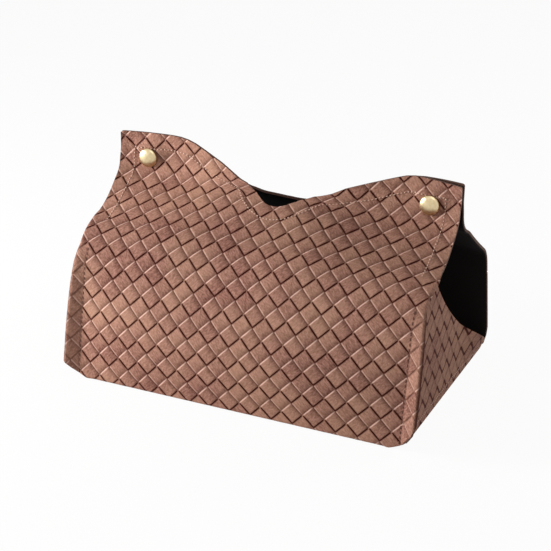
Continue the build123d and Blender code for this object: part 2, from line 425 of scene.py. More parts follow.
@dataclass(frozen=True)
class BasketWeave:
    """Diagonal plain weave pressed into a flat sheet.

    In each square cell one strand passes over the other.  It is dished between its two rims and slopes
    down to both ends, where it dives under its neighbours.  Its form is alike at both rims and both ends:
    the colour paints a dark line, partly pigment of the grooves and mostly painted shadow, along one rim and
    one end of each strand, painted shade towards its other end, and a painted highlight along its other
    rim.  Places on a strand are shares of the pitch from its middle.
    """

    pitch: float = 9.09
    turn: float = 46.67  # angle of the first family of strands to the sheet's length
    origin: Flat = (-1.75, 298.9)
    dive: float = 0.30  # drop at the ends of a strand's visible length
    dive_range: Flat = (0.12, 0.5)
    dive_power: float = 1.4
    dish: float = 0.14
    rim: float = 0.40  # half width of a strand between its rims
    rim_drop: float = 0.12
    lines: tuple[float, ...] = (0.015, 0.05, 0.10, 0.33, 0.67, 0.90, 0.95, 0.985)
    lips: Flat = (1.0, 0.55)  # strength of the painted highlight on the lit rims, of the first family of strands and the second
    lip_across: Flat = (0.40, 0.455)  # where the painted highlight on a lip starts and where it is full
    lip_along: Flat = (0.40, 0.47)  # where it ends
    tucks: Flat = (0.65, 0.5)  # painted shade at their ends where they dive under those rims
    tuck_range: Flat = (0.36, 0.45)
    shade: float = 0.3  # fainter painted shade that leads to it
    shade_range: Flat = (0.10, 0.45)
    breaks: Flat = (0.40, 0.48)  # between these places a groove fades out towards a peak
    ink_and_shadow: float = 0.41  # where the dark line starts: partly pigment of the grooves, mostly painted shadow
    ink_and_shadow_end: float = 0.06  # width over which it comes in at the end of a strand
    ink_and_shadow_rim: Flat = (0.02, 0.067)  # the same at its rim, from and to
    primes: tuple[int, int] = (7919, 104729)  # they give each cell a tone of its own
    shifts: Flat = (3.7, 11.3)  # steps of the streaks from cell to cell
    margin: float = 1.5  # sheet left round the rectangle asked for

    @cached_property
    def axis(self) -> Flat:
        """Direction of the first family of strands."""
        return math.cos(math.radians(self.turn)), math.sin(math.radians(self.turn))

    def lattice(self, s: float, t: float) -> Flat:
        """Cell coordinates of a flat point."""
        s, t = (s - self.origin[0]) / self.pitch, (t - self.origin[1]) / self.pitch
        return s * self.axis[0] + t * self.axis[1], t * self.axis[0] - s * self.axis[1]

    def flat(self, u: float, v: float) -> Flat:
        """Flat point of cell coordinates."""
        (c, d), (s, t) = self.axis, self.origin
        return (u * c - v * d) * self.pitch + s, (u * d + v * c) * self.pitch + t

    def strand(self, u: float, v: float) -> tuple[float, float, int, int]:
        """Place in a cell.

        Args:
            u: First cell coordinate.
            v: Second cell coordinate.

        Returns:
            Place along the strand on top, rising to the end with its dark line, place across it, rising to
            the rim with its painted shadow line, and the cell's two numbers.
        """
        i, j = math.floor(u), math.floor(v)
        a, b = u - i - 0.5, v - j - 0.5
        return (-a, -b, i, j) if (i + j) % 2 == 0 else (b, a, i, j)

    def height(self, s: float, t: float) -> float:
        """Height of the surface at a flat point; the rims of a strand are at 0."""
        along, across, _, _ = self.strand(*self.lattice(s, t))
        return self.drop(along, across)

    def drop(self, along: float, across: float) -> float:
        """Height of the surface at a place on a strand.

        Args:
            along: Place along the strand.
            across: Place across it.

        Returns:
            The height, which is 0 at the rims.
        """
        end = smoothstep(*self.dive_range, abs(along)) ** self.dive_power
        inside = min(1.0, abs(across) / self.rim)
        outside = max(0.0, abs(across) - self.rim) / (0.5 - self.rim)
        return -self.dive * end - self.dish * (1 - inside**2) - self.rim_drop * outside**2

    def dark(self, along: float, across: float, family: int) -> float:
        """Painted shadow and shade, with the grooves' pigment, at a place on a strand.

        Args:
            along: Place along the strand, rising to the end with its dark line.
            across: Place across it, rising to the rim with its painted shadow line.
            family: 0 for the first family of strands, 1 for the second.

        Returns:
            Share of the dark, which stops short where two grooves come to a peak.
        """
        peak = 1 if family else -1
        full, none = self.breaks
        start, stop = self.ink_and_shadow_rim
        # dark lines along one end and one rim: partly pigment of the grooves, mostly painted shadow
        end = smoothstep(self.ink_and_shadow, self.ink_and_shadow + self.ink_and_shadow_end, along) * smoothstep(none, full, peak * across)
        rim = smoothstep(self.ink_and_shadow + start, self.ink_and_shadow + stop, across) * smoothstep(none, full, peak * along)
        # painted shade towards the other end, where it dives under a neighbour's rim
        shade = self.shade * smoothstep(*self.shade_range, -along)
        shade += (self.tucks[family] - self.shade) * smoothstep(*self.tuck_range, -along)
        return max(end, rim, shade)

    def sheet(self, low: Flat, high: Flat) -> Mesh:
        """Draw the flat sheet over a rectangle, a little larger than asked.

        Args:
            low: Lowest corner.
            high: Highest corner.

        Returns:
            A mesh with x and y as flat coordinates and z as height, and the weave's attributes.
        """
        corners = [self.lattice(s, t) for s in (low[0], high[0]) for t in (low[1], high[1])]
        first = [math.floor(min(c[k] for c in corners)) for k in (0, 1)]
        count = [math.ceil(max(c[k] for c in corners)) - first[k] for k in (0, 1)]
        marks = [[first[k] + cell + m for cell in range(count[k]) for m in self.lines] for k in (0, 1)]
        last = [len(places) - 1 for places in marks]
        bm = bmesh.new()
        bmesh.ops.create_grid(bm, x_segments=last[0], y_segments=last[1], size=1.0)
        groove_pigment_and_shade, rub, tone = (bm.verts.layers.float.new(name) for name in ("groove_pigment_and_shade", "rub", "tone"))
        strip = bm.verts.layers.float_vector.new("strip")
        for vert in bm.verts:
            u, v = (marks[k][round((vert.co[k] + 1) / 2 * last[k])] for k in (0, 1))
            along, across, i, j = self.strand(u, v)
            family = (i + j) % 2
            vert.co = (*self.flat(u, v), self.drop(along, across))
            # painted shadow and shade, partly pigment of the grooves
            vert[groove_pigment_and_shade] = self.dark(along, across, family)
            # painted highlight on the lit rim
            lit_lip = self.lips[family] * smoothstep(*self.lip_across, -across)
            vert[rub] = lit_lip * (1 - smoothstep(*self.lip_along, abs(along)))
            vert[tone] = random.Random(i * self.primes[0] + j * self.primes[1]).random()
            shift = i * self.shifts[0] + j * self.shifts[1]
            vert[strip] = (along * self.pitch, across * self.pitch, shift)
        outside = []
        for face in bm.faces:
            centre = face.calc_center_median()
            if any(not low[k] - self.margin < centre[k] < high[k] + self.margin for k in (0, 1)):
                outside.append(face)
        bmesh.ops.delete(bm, geom=outside, context="FACES")
        return bm


@dataclass(frozen=True)
class PlainSheet:
    """Smooth flat sheet, such as the lining."""

    spacing: float = 2.2

    def sheet(self, low: Flat, high: Flat) -> Mesh:
        """Draw the flat sheet over a rectangle.

        Args:
            low: Lowest corner.
            high: Highest corner.

        Returns:
            A mesh with x and y as flat coordinates.
        """
        bm = bmesh.new()
        size = [high[k] - low[k] for k in (0, 1)]
        columns, rows = (math.ceil(side / self.spacing) for side in size)
        bmesh.ops.create_grid(bm, x_segments=columns, y_segments=rows, size=0.5)
        bmesh.ops.scale(bm, vec=(*size, 1.0), verts=bm.verts)
        middle = ((low[0] + high[0]) / 2, (low[1] + high[1]) / 2, 0.0)
        bmesh.ops.translate(bm, vec=middle, verts=bm.verts)
        return bm


def cut(bm: Mesh, faces: Sequence, point: Flat, normal: Vector) -> None:
    """Divide some faces of a flat sheet along a plane.

    Args:
        bm: The sheet.
        faces: Faces to divide.
        point: A point of the plane.
        normal: The plane's normal.
    """
    geom = dict.fromkeys(faces)
    for face in faces:
        geom.update(dict.fromkeys((*face.edges, *face.verts)))
    bmesh.ops.bisect_plane(bm, geom=list(geom), dist=JOINED, plane_co=(*point, 0.0), plane_no=normal)


def level(line: Line, axis: int, place: float) -> float:
    """Follow a line of points, prolonged past its ends.

    Args:
        line: Points in rising order of one flat coordinate.
        axis: Number of that coordinate.
        place: Its value.

    Returns:
        The other coordinate there.
    """
    for start, end in zip(line, line[1:]):
        if place < end[axis] or end is line[-1]:
            break
    share = (place - start[axis]) / (end[axis] - start[axis])
    return start[1 - axis] + share * (end[1 - axis] - start[1 - axis])


def score(bm: Mesh, line: Line, axis: int, beside: float = 4.0, near: float = 14.0) -> None:
    """Divide a flat sheet along a line of points, so that it can fold or be cut there.

    Args:
        bm: The sheet.
        line: Points in rising order of one flat coordinate.
        axis: Number of that coordinate.
        beside: How far along the line from a point the sheet is divided into columns.
        near: How far from the line it is.
    """
    other = 1 - axis
    step = Vector((0.0, 0.0, 0.0))
    step[axis] = 1.0
    for place in line[1:-1]:
        faces = []
        for face in bm.faces:
            away = face.calc_center_median()
            if abs(away[axis] - place[axis]) < beside and abs(away[other] - place[other]) < near:
                faces.append(face)
        cut(bm, faces, place, step)
    for start, end in zip(line, line[1:]):
        low = -math.inf if start is line[0] else start[axis]
        high = math.inf if end is line[-1] else end[axis]
        faces = [f for f in bm.faces if low <= f.calc_center_median()[axis] < high]
        cut(bm, faces, start, Vector((end[1] - start[1], start[0] - end[0], 0.0)))


def trim(bm: Mesh, line: Line, axis: int, outer: int) -> None:
    """Cut a flat sheet along a line of points and drop what lies outside it.

    Args:
        bm: The sheet.
        line: Points in rising order of one flat coordinate.
        axis: Number of that coordinate.
        outer: 1 if the dropped side has the higher other coordinate, -1 if the lower.
    """
    score(bm, line, axis)
    outside = []
    for face in bm.faces:
        centre = face.calc_center_median()
        if (centre[1 - axis] - level(line, axis, centre[axis])) * outer > 0:
            outside.append(face)
    bmesh.ops.delete(bm, geom=outside, context="FACES")


def thicken(bm: Mesh, depth: float, inset: float = 0.0) -> None:
    """Press a flat sheet's edges level and give it a flat underside at a depth and rim faces.

    Args:
        bm: The sheet.
        depth: Thickness of the sheet; its underside and rim take the second material.
        inset: How far the whole sheet is set back from the outer face.
    """
    for vert in bm.verts:
        if vert.is_boundary:
            vert.co.z = -PRESSED_EDGE
    top = bm.faces[:]
    made = bmesh.ops.extrude_face_region(bm, geom=top, use_keep_orig=True)["geom"]
    for vert in (g for g in made if isinstance(g, bmesh.types.BMVert)):
        vert.co.z = -depth
    kept = set(top)
    for face in bm.faces:
        if face not in kept:
            face.material_index = 1
    bmesh.ops.translate(bm, vec=(0.0, 0.0, -inset), verts=bm.verts)
    bmesh.ops.recalc_face_normals(bm, faces=bm.faces)


@dataclass(frozen=True)
class FlatCut:
    """Size of a sheet as it was cut, before it was folded."""

    width: float
    length: float
    area: float

    @classmethod
    def of(cls, bm: Mesh) -> "FlatCut":
        """Measure a flat sheet.

        Args:
            bm: The sheet.

        Returns:
            Its size.
        """
        spans = [[vert.co[k] for vert in bm.verts] for k in (0, 1)]
        width, length = (max(span) - min(span) for span in spans)
        return cls(width, length, min(width * length, sum(face.calc_area() for face in bm.faces)))

    def declare(self, piece: Piece, hold: Hold, *under: str) -> None:
        """Work out the cut's length in metres and drop it; nothing is done with the piece.

        Args:
            piece: The folded sheet; not used.
            hold: How it is held; not used.
            under: Names of the pieces that it lies on or hangs from; not used.
        """
        self.length * MM


def make_piece(
    bm: Mesh, name: str, finishes: Sequence[Material], crisp: float = 50.0
) -> Piece:
    """Turn a mesh in millimetres into an object at the origin, in metres.

    Args:
        bm: The mesh, which is freed.
        name: Name of the piece.
        finishes: Materials by index.
        crisp: Angle in degrees above which an edge stays sharp.

    Returns:
        The object, linked to the scene.
    """
    bmesh.ops.scale(bm, vec=(MM, MM, MM), verts=bm.verts)
    for face in bm.faces:
        face.smooth = True
    for edge in bm.edges:
        edge.smooth = len(edge.link_faces) != 2 or edge.calc_face_angle(0.0) < math.radians(crisp)
    mesh = bpy.data.meshes.new(name)
    bm.to_mesh(mesh)
    bm.free()
    for finish in finishes:
        mesh.materials.append(finish)
    piece = bpy.data.objects.new(name, mesh)
    bpy.context.scene.collection.objects.link(piece)
    LOG.info("%s: %d faces", name, len(mesh.polygons))
    return piece


def fold_up(bm: Mesh, fold: Fold) -> None:
    """Fold a flat sheet into its place and turn its faces outwards.

    Args:
        bm: The sheet.
        fold: Gives the place of a flat point.
    """
    for vert in bm.verts:
        vert.co = fold(vert.co)
    bmesh.ops.recalc_face_normals(bm, faces=bm.faces)


@dataclass(frozen=True)
class TopEdge:
    """Top edge of a flap seen from the front: square ears, sloping shoulders and a rounded dip."""

    half_width: float = 105.3
    height: float = 131.0
    corner: float = 1.2
    shoulder: float = 40.0
    dip: float = 105.5
    dip_bend: float = 20.0
    slopes: Flat = (23.8, 19.5)  # left and right; the right half hangs lower
    droop: Flat = (1.0, 1.8)  # how far the outer corners of the front ears hang
    droop_from: float = 70.0
    marks: tuple[float, ...] = (2.5, 5, 7.5, 12, 21, 38, 52, 57, 62, 67, 72, 77, 82, 90, 97)
    corner_marks: tuple[float, ...] = (0, 35, 65, 90)  # angles round the corner

    def at(self, x: float) -> float:
        """Height of the front's edge at a place along it."""
        return self.level(x) - self.droop[x > 0] * smoothstep(self.droop_from, self.half_width, abs(x))

    def level(self, x: float) -> float:
        """Height of the edge, were it straight along the ears.

        Args:
            x: Place along it.

        Returns:
            Height over the table.
        """
        angle = math.radians(self.slopes[x > 0])
        x = abs(x)
        vertex = self.dip - self.dip_bend * (1 / math.cos(angle) - 1)
        top_x = (self.height - vertex) / math.tan(angle)
        reach = self.shoulder * math.tan(angle / 2)
        if x < self.dip_bend * math.sin(angle):
            return self.dip + self.dip_bend - math.sqrt(self.dip_bend**2 - x**2)
        if x < top_x - reach * math.cos(angle):
            return vertex + x * math.tan(angle)
        if x < top_x + reach:
            away = top_x + reach - x
            return self.height - self.shoulder + math.sqrt(self.shoulder**2 - away**2)
        side = x - (self.half_width - self.corner)
        if side > 0:
            return self.height - self.corner + math.sqrt(max(0.0, self.corner**2 - side**2))
        return self.height

    def places(self) -> list[float]:
        """Say where the edge is cut.

        Returns:
            Places from end to end.
        """
        sines = (math.sin(math.radians(angle)) for angle in self.corner_marks)
        half = [*self.marks, *(self.half_width - self.corner * (1 - sine) for sine in sines)]
        return [-x for x in reversed(half)] + [0.0] + half


@dataclass(frozen=True)
class Stitching:
    """Row of thread stitches, each a small bead of twisted thread lying in the leather."""

    pitch: float = 2.1
    length: float = 1.3
    width: float = 0.72
    lean: float = 9.0
    proud: float = 0.2  # how far its middle lies over the surface, as a share of its width

    def row(self, bm: Mesh, line: Line, height: Callable[[float, float], float]) -> None:
        """Add stitches along a flat line of points.

        Args:
            bm: Mesh to add to.
            line: Points in order.
            height: Height of the surface that the thread lies on, at a flat point.
        """
        points = [Vector(p) for p in line]
        walked = 0.0
        due = self.pitch / 2
        for start, end in zip(points, points[1:]):
            span = (end - start).length
            angle = math.atan2(end.y - start.y, end.x - start.x) + math.radians(self.lean)
            while due < walked + span:
                place = start.lerp(end, (due - walked) / span)
                made = bmesh.ops.create_icosphere(bm, subdivisions=1, radius=0.5)["verts"]
                bmesh.ops.scale(bm, vec=(self.length, self.width, self.width), verts=made)
                rise = height(place.x, place.y) + self.proud * self.width
                shift = Matrix.Translation((place.x, place.y, rise))
                bmesh.ops.transform(bm, matrix=shift @ Matrix.Rotation(angle, 4, "Z"), verts=made)
                due += self.pitch
            walked += span


def inset_line(line: Line, distance: float) -> list[Flat]:
    """Shift a line square to itself, towards lower second coordinates.

    Args:
        line: Points of rising first coordinate.
        distance: How far to shift it.

    Returns:
        The shifted points.
    """
    shifted: list[Flat] = []
    for k, place in enumerate(line):
        before, after = line[max(0, k - 1)], line[min(len(line) - 1, k + 1)]
        along = Vector((after[0] - before[0], after[1] - before[1])).normalized()
        shifted.append((place[0] + along.y * distance, place[1] - along.x * distance))
    return shifted


def mirrored(line: Line) -> list[Flat]:
    """Mirror a line of points to the other side of the middle."""
    return [(-s, t) for s, t in line]


def both_halves(half: Line) -> list[Flat]:
    """Line from end to end whose right half is given."""
    return mirrored(half[::-1]) + [*half]


class Bend(Enum):
    """Bends of the wrap, numbered from the back's top edge to the front's."""

    BACK_EAR = 0
    BACK_ROOF = 1
    BACK_FOOT = 2
    FRONT_FOOT = 3
    FRONT_ROOF = 4
    FRONT_EAR = 5


@dataclass(frozen=True)
class Wrap:
    """Form of the long sheet that makes back, base and front in one run.

    Flat coordinates are s, along the length of the holder, and t, round the section from the back's
    top edge under the base to the front's top edge.
    """

    line: FoldLine = FoldLine(
        (
            (4.0, 134.0),
            (4.0, 105.0),
            (54.0, 71.0),
            (69.5, 0.0),
            (-71.8, 0.0),
            (-57.5, 82.0),
            (-4.0, 107.0),
            (-4.0, 134.0),
        ),
        (14.0, 20.0, 3.0, 1.3, 36.0, 11.0),
    )
    weave: BasketWeave = BasketWeave()
    top: TopEdge = TopEdge()
    leather: float = 1.6
    lining: float = 0.6
    lining_gap: float = 0.4  # how far a lining stays inside the leather's sides
    lining_drop: float = 0.8  # the same at the top edges
    base_half: float = 98.2
    base_joint: float = 63.0  # where the front's and the back's sheets end under the base
    seam: float = 99.3
    flange: Flat = (8.4, 4.9)  # width at the foot and at the shoulder
    uneven: float = -0.6  # hand sewing leaves the left flange narrower at its foot, the right one wider
    flare: float = 33.0
    shoulder: float = 78.0
    valley: float = 2.4  # bend radius along the corner seam
    seam_marks: tuple[float, ...] = (0.0, 0.6, 1.2)  # score lines of the corner seam
    # painted shade along the crease of each corner seam
    seam_dark: float = 0.4
    seam_line: float = 0.2  # half width of that painted shade line in it
    seam_fade: float = 0.5  # share of the grooves' dark that is left on the flange, which is pressed flat
    edge_turn: float = 1.4  # radius of the folded edge of the flange
    # painted shadow on the folded edge of the flange, where it tucks in against the wing
    edge_dark: float = 0.9
    edge_range: Flat = (0.15, 0.42)  # shares of the folded edge between which that dark comes in
    edge_flat: float = 2.5  # width over which the weave is pressed flat up to it
    aslant: tuple[Flat, ...] = ((14, 0.8), (9, 3), (5, 5.4), (2, 7.6), (-0.5, 9.6), (-3, 10.5))
    rounded: tuple[Flat, ...] = ((16.3, 0.4), (10.8, 2.7), (6, 6.4), (2.6, 10.6), (0.6, 14.8), (-2.2, 18.5))
    front_swell: tuple[float, float, float] = (0.8, -3.8, 1.35)  # roof: middle, ends, and how it gathers
    back_swell: tuple[float, float, float] = (4.0, -1.0, 0.8)
    back_swell_end: float = 12.0  # how far below its bend the back roof's swell ends
    wall_swell: float = 6.0  # front wall in the middle
    spreads: Flat = (2.4, 2.6)  # powers by which the swell of roof and wall falls off to the ends
    parting: float = 6.0  # how far the front stands off at the middle of its top edge
    parting_rise: float = 0.25  # share of the roof below it
    parting_range: Flat = (74.0, 14.0)  # places where it starts and where it is full
    curl: Flat = (86.0, 2.6)  # the front ears curl forward outside this place, by this much at their sides
    curl_range: Flat = (-26.0, 4.0)  # distances from the ear's bend between which they start to
    follow: float = 0.9  # share of that curl that the back ears follow
    follow_range: Flat = (16.0, -4.0)
    ripple: float = 0.9
    ripple_mm: Flat = (55.0, 48.0)
    ripple_seed: float = 3.1
    calm: float = 30.0  # distance from the foot at which the ripple is full
    hem: float = 9.0
    pinch: float = 1.6  # how far the ears draw together where no snap keeps them apart
    pinch_range: Flat = (-2.0, 8.0)  # distances past the ear's bend between which they start to
    snap: Flat = (87.3, 116.0)
    snap_range: Flat = (7.0, 14.0)  # distances from a snap between which it lets go
    crease_range: float = 3.0  # distance from a sharp bend over which the weave recovers
    crush: float = 0.85  # share of the weave's height that a fold presses flat
    foot_range: Flat = (88.0, 98.0)  # between these places the foot's bend opens out to the flange
    tip: float = -33.0  # where the folded edge of the flange ends on the roof

    def bend(self, which: Bend) -> Flat:
        """Distances at which a bend starts and ends."""
        return self.line.arc(which.value)

    def middle(self, which: Bend) -> float:
        """Distance of the middle of a bend."""
        return sum(self.bend(which)) / 2

    @cached_property
    def lining_half(self) -> float:
        """Half width of the linings inside the tray, which meet those of the wings."""
        return self.seam - self.lining_gap

    @cached_property
    def lap(self) -> float:
        """Leather that the folded edge of the flange takes."""
        return math.pi * self.edge_turn

    @cached_property
    def wall_start(self) -> tuple[Vector, Vector]:
        """Point and outward normal where the flat of the front wall starts."""
        return self.line.at(self.bend(Bend.FRONT_FOOT)[1])

    @cached_property
    def wall_foot(self) -> float:
        """Distance at which the front wall would meet the table, going straight down."""
        point, normal = self.wall_start
        return self.bend(Bend.FRONT_FOOT)[1] + point.z / normal.y

    @cached_property
    def flange_end(self) -> float:
        """Find where the folded edge of the flange ends on the roof.

        Returns:
            Distance along the line.
        """
        low, high = self.middle(Bend.FRONT_ROOF), self.middle(Bend.FRONT_EAR)
        (start, _), (end, _) = self.line.at(low), self.line.at(high)
        return low + (high - low) * (self.tip - start.y) / (end.y - start.y)

    @cached_property
    def shoulder_rise(self) -> float:
        """Distance at which the front wall reaches the shoulder."""
        return self.wall_foot - self.shoulder / self.wall_start[1].y

    def straight_wall(self, t: float) -> Vector:
        """Point of the front wall's plane at a distance, without its bends."""
        point, normal = self.wall_start
        return point + Vector((0.0, normal.z, -normal.y)) * (t - self.bend(Bend.FRONT_FOOT)[1])

    def drawn_back(self, t: float) -> Vector:
        """Step from the front wall's plane to its curved face, near the roof."""
        low = t < self.bend(Bend.FRONT_ROOF)[0]
        return Vector() if low else self.line.at(t)[0] - self.straight_wall(t)

    def flare_share(self, t: float) -> float:
        """Share of the way up the flange, from 0 at its foot to 1 at the shoulder."""
        return min(1.0, max(0.0, (t - self.wall_foot) / (self.shoulder_rise - self.wall_foot)))

    def flange_angle(self, t: float) -> float:
        """How far the flange turns forward of the front wall, in radians."""
        return math.radians(self.flare) * (1 - self.flare_share(t) ** 3)

    def flange_foot(self, end: End) -> float:
        """Width of a flange at its foot."""
        return self.flange[0] - self.uneven * end.value

    def foot_cut(self, end: End) -> tuple[Flat, ...]:
        """Cut of a flange's foot, as inset and rise: aslant at the left, rounded at the right."""
        return self.aslant if end is End.LEFT else self.rounded

    def flange_runs(self, t: float, end: End) -> list[Run]:
        """Plan of a flange outside its seam.

        Args:
            t: Distance up the wall.
            end: Which flange.

        Returns:
            The bend of the valley if there is any, the flange's flat and its folded edge.
        """
        share = self.flare_share(t)
        foot, shoulder = self.flange_foot(end), self.flange[1]
        roof = smoothstep(self.shoulder_rise, self.flange_end, t)
        width = foot + (shoulder - foot) * share**3 + (self.top.half_width - self.seam - shoulder) * roof
        bend = self.valley * self.flange_angle(t)
        runs = [Run(bend, 1 / self.valley)] if bend else []
        return runs + [Run(width - bend), Run(self.lap, -1 / self.edge_turn)]

    def swelling(self, s: float, t: float) -> float:
        """How far the soft leather stands out from the plain fold.

        Args:
            s: Place along the length.
            t: Distance round the section.

        Returns:
            Distance along the outward normal.
        """
        away = min(1.0, abs(s) / self.top.half_width) ** self.spreads[0]
        bulge = 0.0
        front = (self.middle(Bend.FRONT_ROOF), self.middle(Bend.FRONT_EAR))
        back = (self.middle(Bend.BACK_EAR), self.bend(Bend.BACK_ROOF)[1] + self.back_swell_end)
        for (start, end), (middle, side, power) in ((front, self.front_swell), (back, self.back_swell)):
            share = (t - start) / (end - start)
            if 0 < share < 1:
                bulge = (middle * (1 - away) + side * away) * math.sin(math.pi * share) ** power
        low, high = self.bend(Bend.FRONT_FOOT)[1], self.bend(Bend.FRONT_ROOF)[0]
        wall = (t - low) / (high - low)
        if 0 < wall < 1:
            full = max(0.0, 1 - abs(s / self.seam) ** self.spreads[1])
            bulge += self.wall_swell * full * math.sin(math.pi * wall)
        near_top = smoothstep(front[0] + self.parting_rise * (front[1] - front[0]), front[1], t)
        bulge += self.parting * near_top * smoothstep(*self.parting_range, abs(s))
        outside = max(0.0, abs(s) - self.curl[0]) / (self.top.half_width - self.curl[0])
        rise = smoothstep(*(front[1] + step for step in self.curl_range), t)
        bulge += self.curl[1] * outside**2 * rise
        rise = smoothstep(*(back[0] + step for step in self.follow_range), t)
        bulge -= self.follow * self.curl[1] * outside**2 * rise
        calm = smoothstep(self.bend(Bend.FRONT_EAR)[1], self.bend(Bend.FRONT_EAR)[0], t)
        calm *= smoothstep(*self.bend(Bend.BACK_EAR), t)
        calm *= smoothstep(0.0, self.calm, max(self.bend(Bend.BACK_FOOT)[0] - t, t - low))
        place = Vector((s / self.ripple_mm[0], t / self.ripple_mm[1], self.ripple_seed))
        return bulge + self.ripple * calm * noise.noise(place)

    def drawn_in(self, s: float, t: float, height: float) -> float:
        """How far an ear leans towards the other one.

        Args:
            s: Place along the length.
            t: Distance round the section.
            height: Height over the table.

        Returns:
            Distance against the outward normal.
        """
        beyond = max(t - self.bend(Bend.FRONT_EAR)[1], self.bend(Bend.BACK_EAR)[0] - t)
        away = math.hypot(abs(s) - self.snap[0], height - self.snap[1])
        return self.pinch * smoothstep(*self.pinch_range, beyond) * smoothstep(*self.snap_range, away)

    def creased(self, t: float) -> float:
        """Share of the weave that the folds at the foot have pressed flat."""
        feet, fade = (self.bend(Bend.BACK_FOOT), self.bend(Bend.FRONT_FOOT)), self.crease_range
        return max(smoothstep(low - fade, low, t) * smoothstep(high + fade, high, t) for low, high in feet)

    def pressed(self, height: float, share: float) -> float:
        """Height of the weave where a fold has pressed a share of it flat; the underside stays."""
        return height * (1 - self.crush * share) if height > -self.leather / 2 else height

    def fold(self, flat: Vector) -> Vector:
        """Fold a flat point of the sheet into place.

        Args:
            flat: s, t and height over the rims of the strands.

        Returns:
            The point in the shared frame.
        """
        s, t, n = flat
        point, normal = self.line.at(t)
        foot = self.bend(Bend.FRONT_FOOT)
        loose = smoothstep(*self.foot_range, abs(s)) if foot[0] - 1.0 < t < foot[1] else 0.0
        if loose:
            point = point.lerp(self.straight_wall(max(t, self.wall_foot)), loose)
            normal = normal.lerp(self.wall_start[1], loose).normalized()
        swell = self.swelling(s, t) - self.drawn_in(s, t, point.z)
        creased = self.creased(t)
        beyond = abs(s) - self.seam
        if beyond <= 0 or not foot[0] < t < self.flange_end:
            placed = point + normal * (self.pressed(n, creased) + swell) + Vector((s, 0.0, 0.0))
        else:
            runs = self.flange_runs(t, End.RIGHT if s > 0 else End.LEFT)
            turn = length_of(runs[:-1])
            n = self.pressed(n, max(creased, smoothstep(turn - self.edge_flat, turn, beyond)))
            out, forward, heading = walk(runs, beyond)
            x = self.seam + out - n * math.sin(heading)
            placed = point + normal * (forward + n * math.cos(heading) + swell)
            placed.x = math.copysign(x, s)
        placed.z = max(0.0, placed.z)
        return placed

    def distance_at(self, s: float, height: float, low: float, high: float) -> float:
        """Find where the outer face reaches a height.

        Args:
            s: Place along the length.
            height: Height over the table.
            low: Distance of a lower place.
            high: Distance of a higher place.

        Returns:
            The distance in between at that height.
        """
        for _ in range(HALVINGS):
            middle = (low + high) / 2
            if self.fold(Vector((s, middle, 0.0))).z < height:
                low = middle
            else:
                high = middle
        return low

    def creases(
        self, low: float, high: float, rows: int = 12, turns: int = 4
    ) -> list[tuple[list[Flat], int]]:
        """Lines along which a piece is scored for its sharp folds.

        Args:
            low: Distance at which the piece starts.
            high: Distance at which it ends.
            rows: Steps up a flange.
            turns: Steps round a bend.

        Returns:
            Points and axis of each line.
        """
        made: list[tuple[list[Flat], int]] = []
        for bend in (Bend.BACK_FOOT, Bend.FRONT_FOOT):
            start, end = self.bend(bend)
            if low < start and end < high:
                marks = (start + (end - start) * k / turns for k in range(turns + 1))
                made += [([(-REACH, t), (REACH, t)], 0) for t in marks]
        if high < self.flange_end:
            return made
        foot, top = self.wall_foot, self.flange_end
        levels = [foot + (top - foot) * k / rows for k in range(rows + 1)]
        for end in End:
            edges = [(self.seam + length_of(self.flange_runs(t, end)[:-1]), t) for t in levels]
            for k in range(turns):
                made.append(([(end.value * (s + self.lap * k / turns), t) for s, t in edges], 1))
            for mark in self.seam_marks:
                made.append(([(end.value * (self.seam + mark), t) for t in (levels[0], levels[-1])], 1))
        return made

    def paint_seam_shade(self, bm: Mesh) -> None:
        """Paint shade into the creases of the corner seams and a painted shadow onto the tucked edges outside
        them, where the grooves are fainter.

        Args:
            bm: The flat sheet.
        """
        groove_pigment_and_shade = bm.verts.layers.float["groove_pigment_and_shade"]
        for vert in bm.verts:
            beyond = abs(vert.co.x) - self.seam
            if beyond > 0 and self.wall_foot < vert.co.y < self.shoulder_rise:
                runs = self.flange_runs(vert.co.y, End.RIGHT if vert.co.x > 0 else End.LEFT)
                # painted shadow on the tucked edge, and painted shade along the seam's crease
                tucked = smoothstep(*self.edge_range, (beyond - length_of(runs[:-1])) / self.lap)
                vert[groove_pigment_and_shade] = max(self.seam_fade * vert[groove_pigment_and_shade], self.edge_dark * tucked)
                if abs(beyond - self.seam_marks[1]) < self.seam_line:
                    vert[groove_pigment_and_shade] = max(vert[groove_pigment_and_shade], self.seam_dark)

    def finish(
        self,
        bm: Mesh,
        name: str,
        finishes: Finishes,
        lined: bool,
        fold: Fold,
        hold: Hold,
        *under: str,
    ) -> Piece:
        """Turn a flat cut of leather or lining into a folded piece.

        Args:
            bm: The flat cut.
            name: Name of the piece.
            finishes: Materials.
            lined: Whether it is a lining.
            fold: Gives the place of a flat point.
            hold: How it is held.
            under: Names of the pieces that it lies on or hangs from.

        Returns:
            The piece.
        """
        flat = FlatCut.of(bm)
        thicken(bm, *((self.lining, self.leather) if lined else (self.leather,)))
        fold_up(bm, fold)
        sides = (finishes.lining, finishes.lining) if lined else (finishes.leather, finishes.cut_edge)
        piece = make_piece(bm, name, sides)
        flat.declare(piece, hold, *under)
        return piece

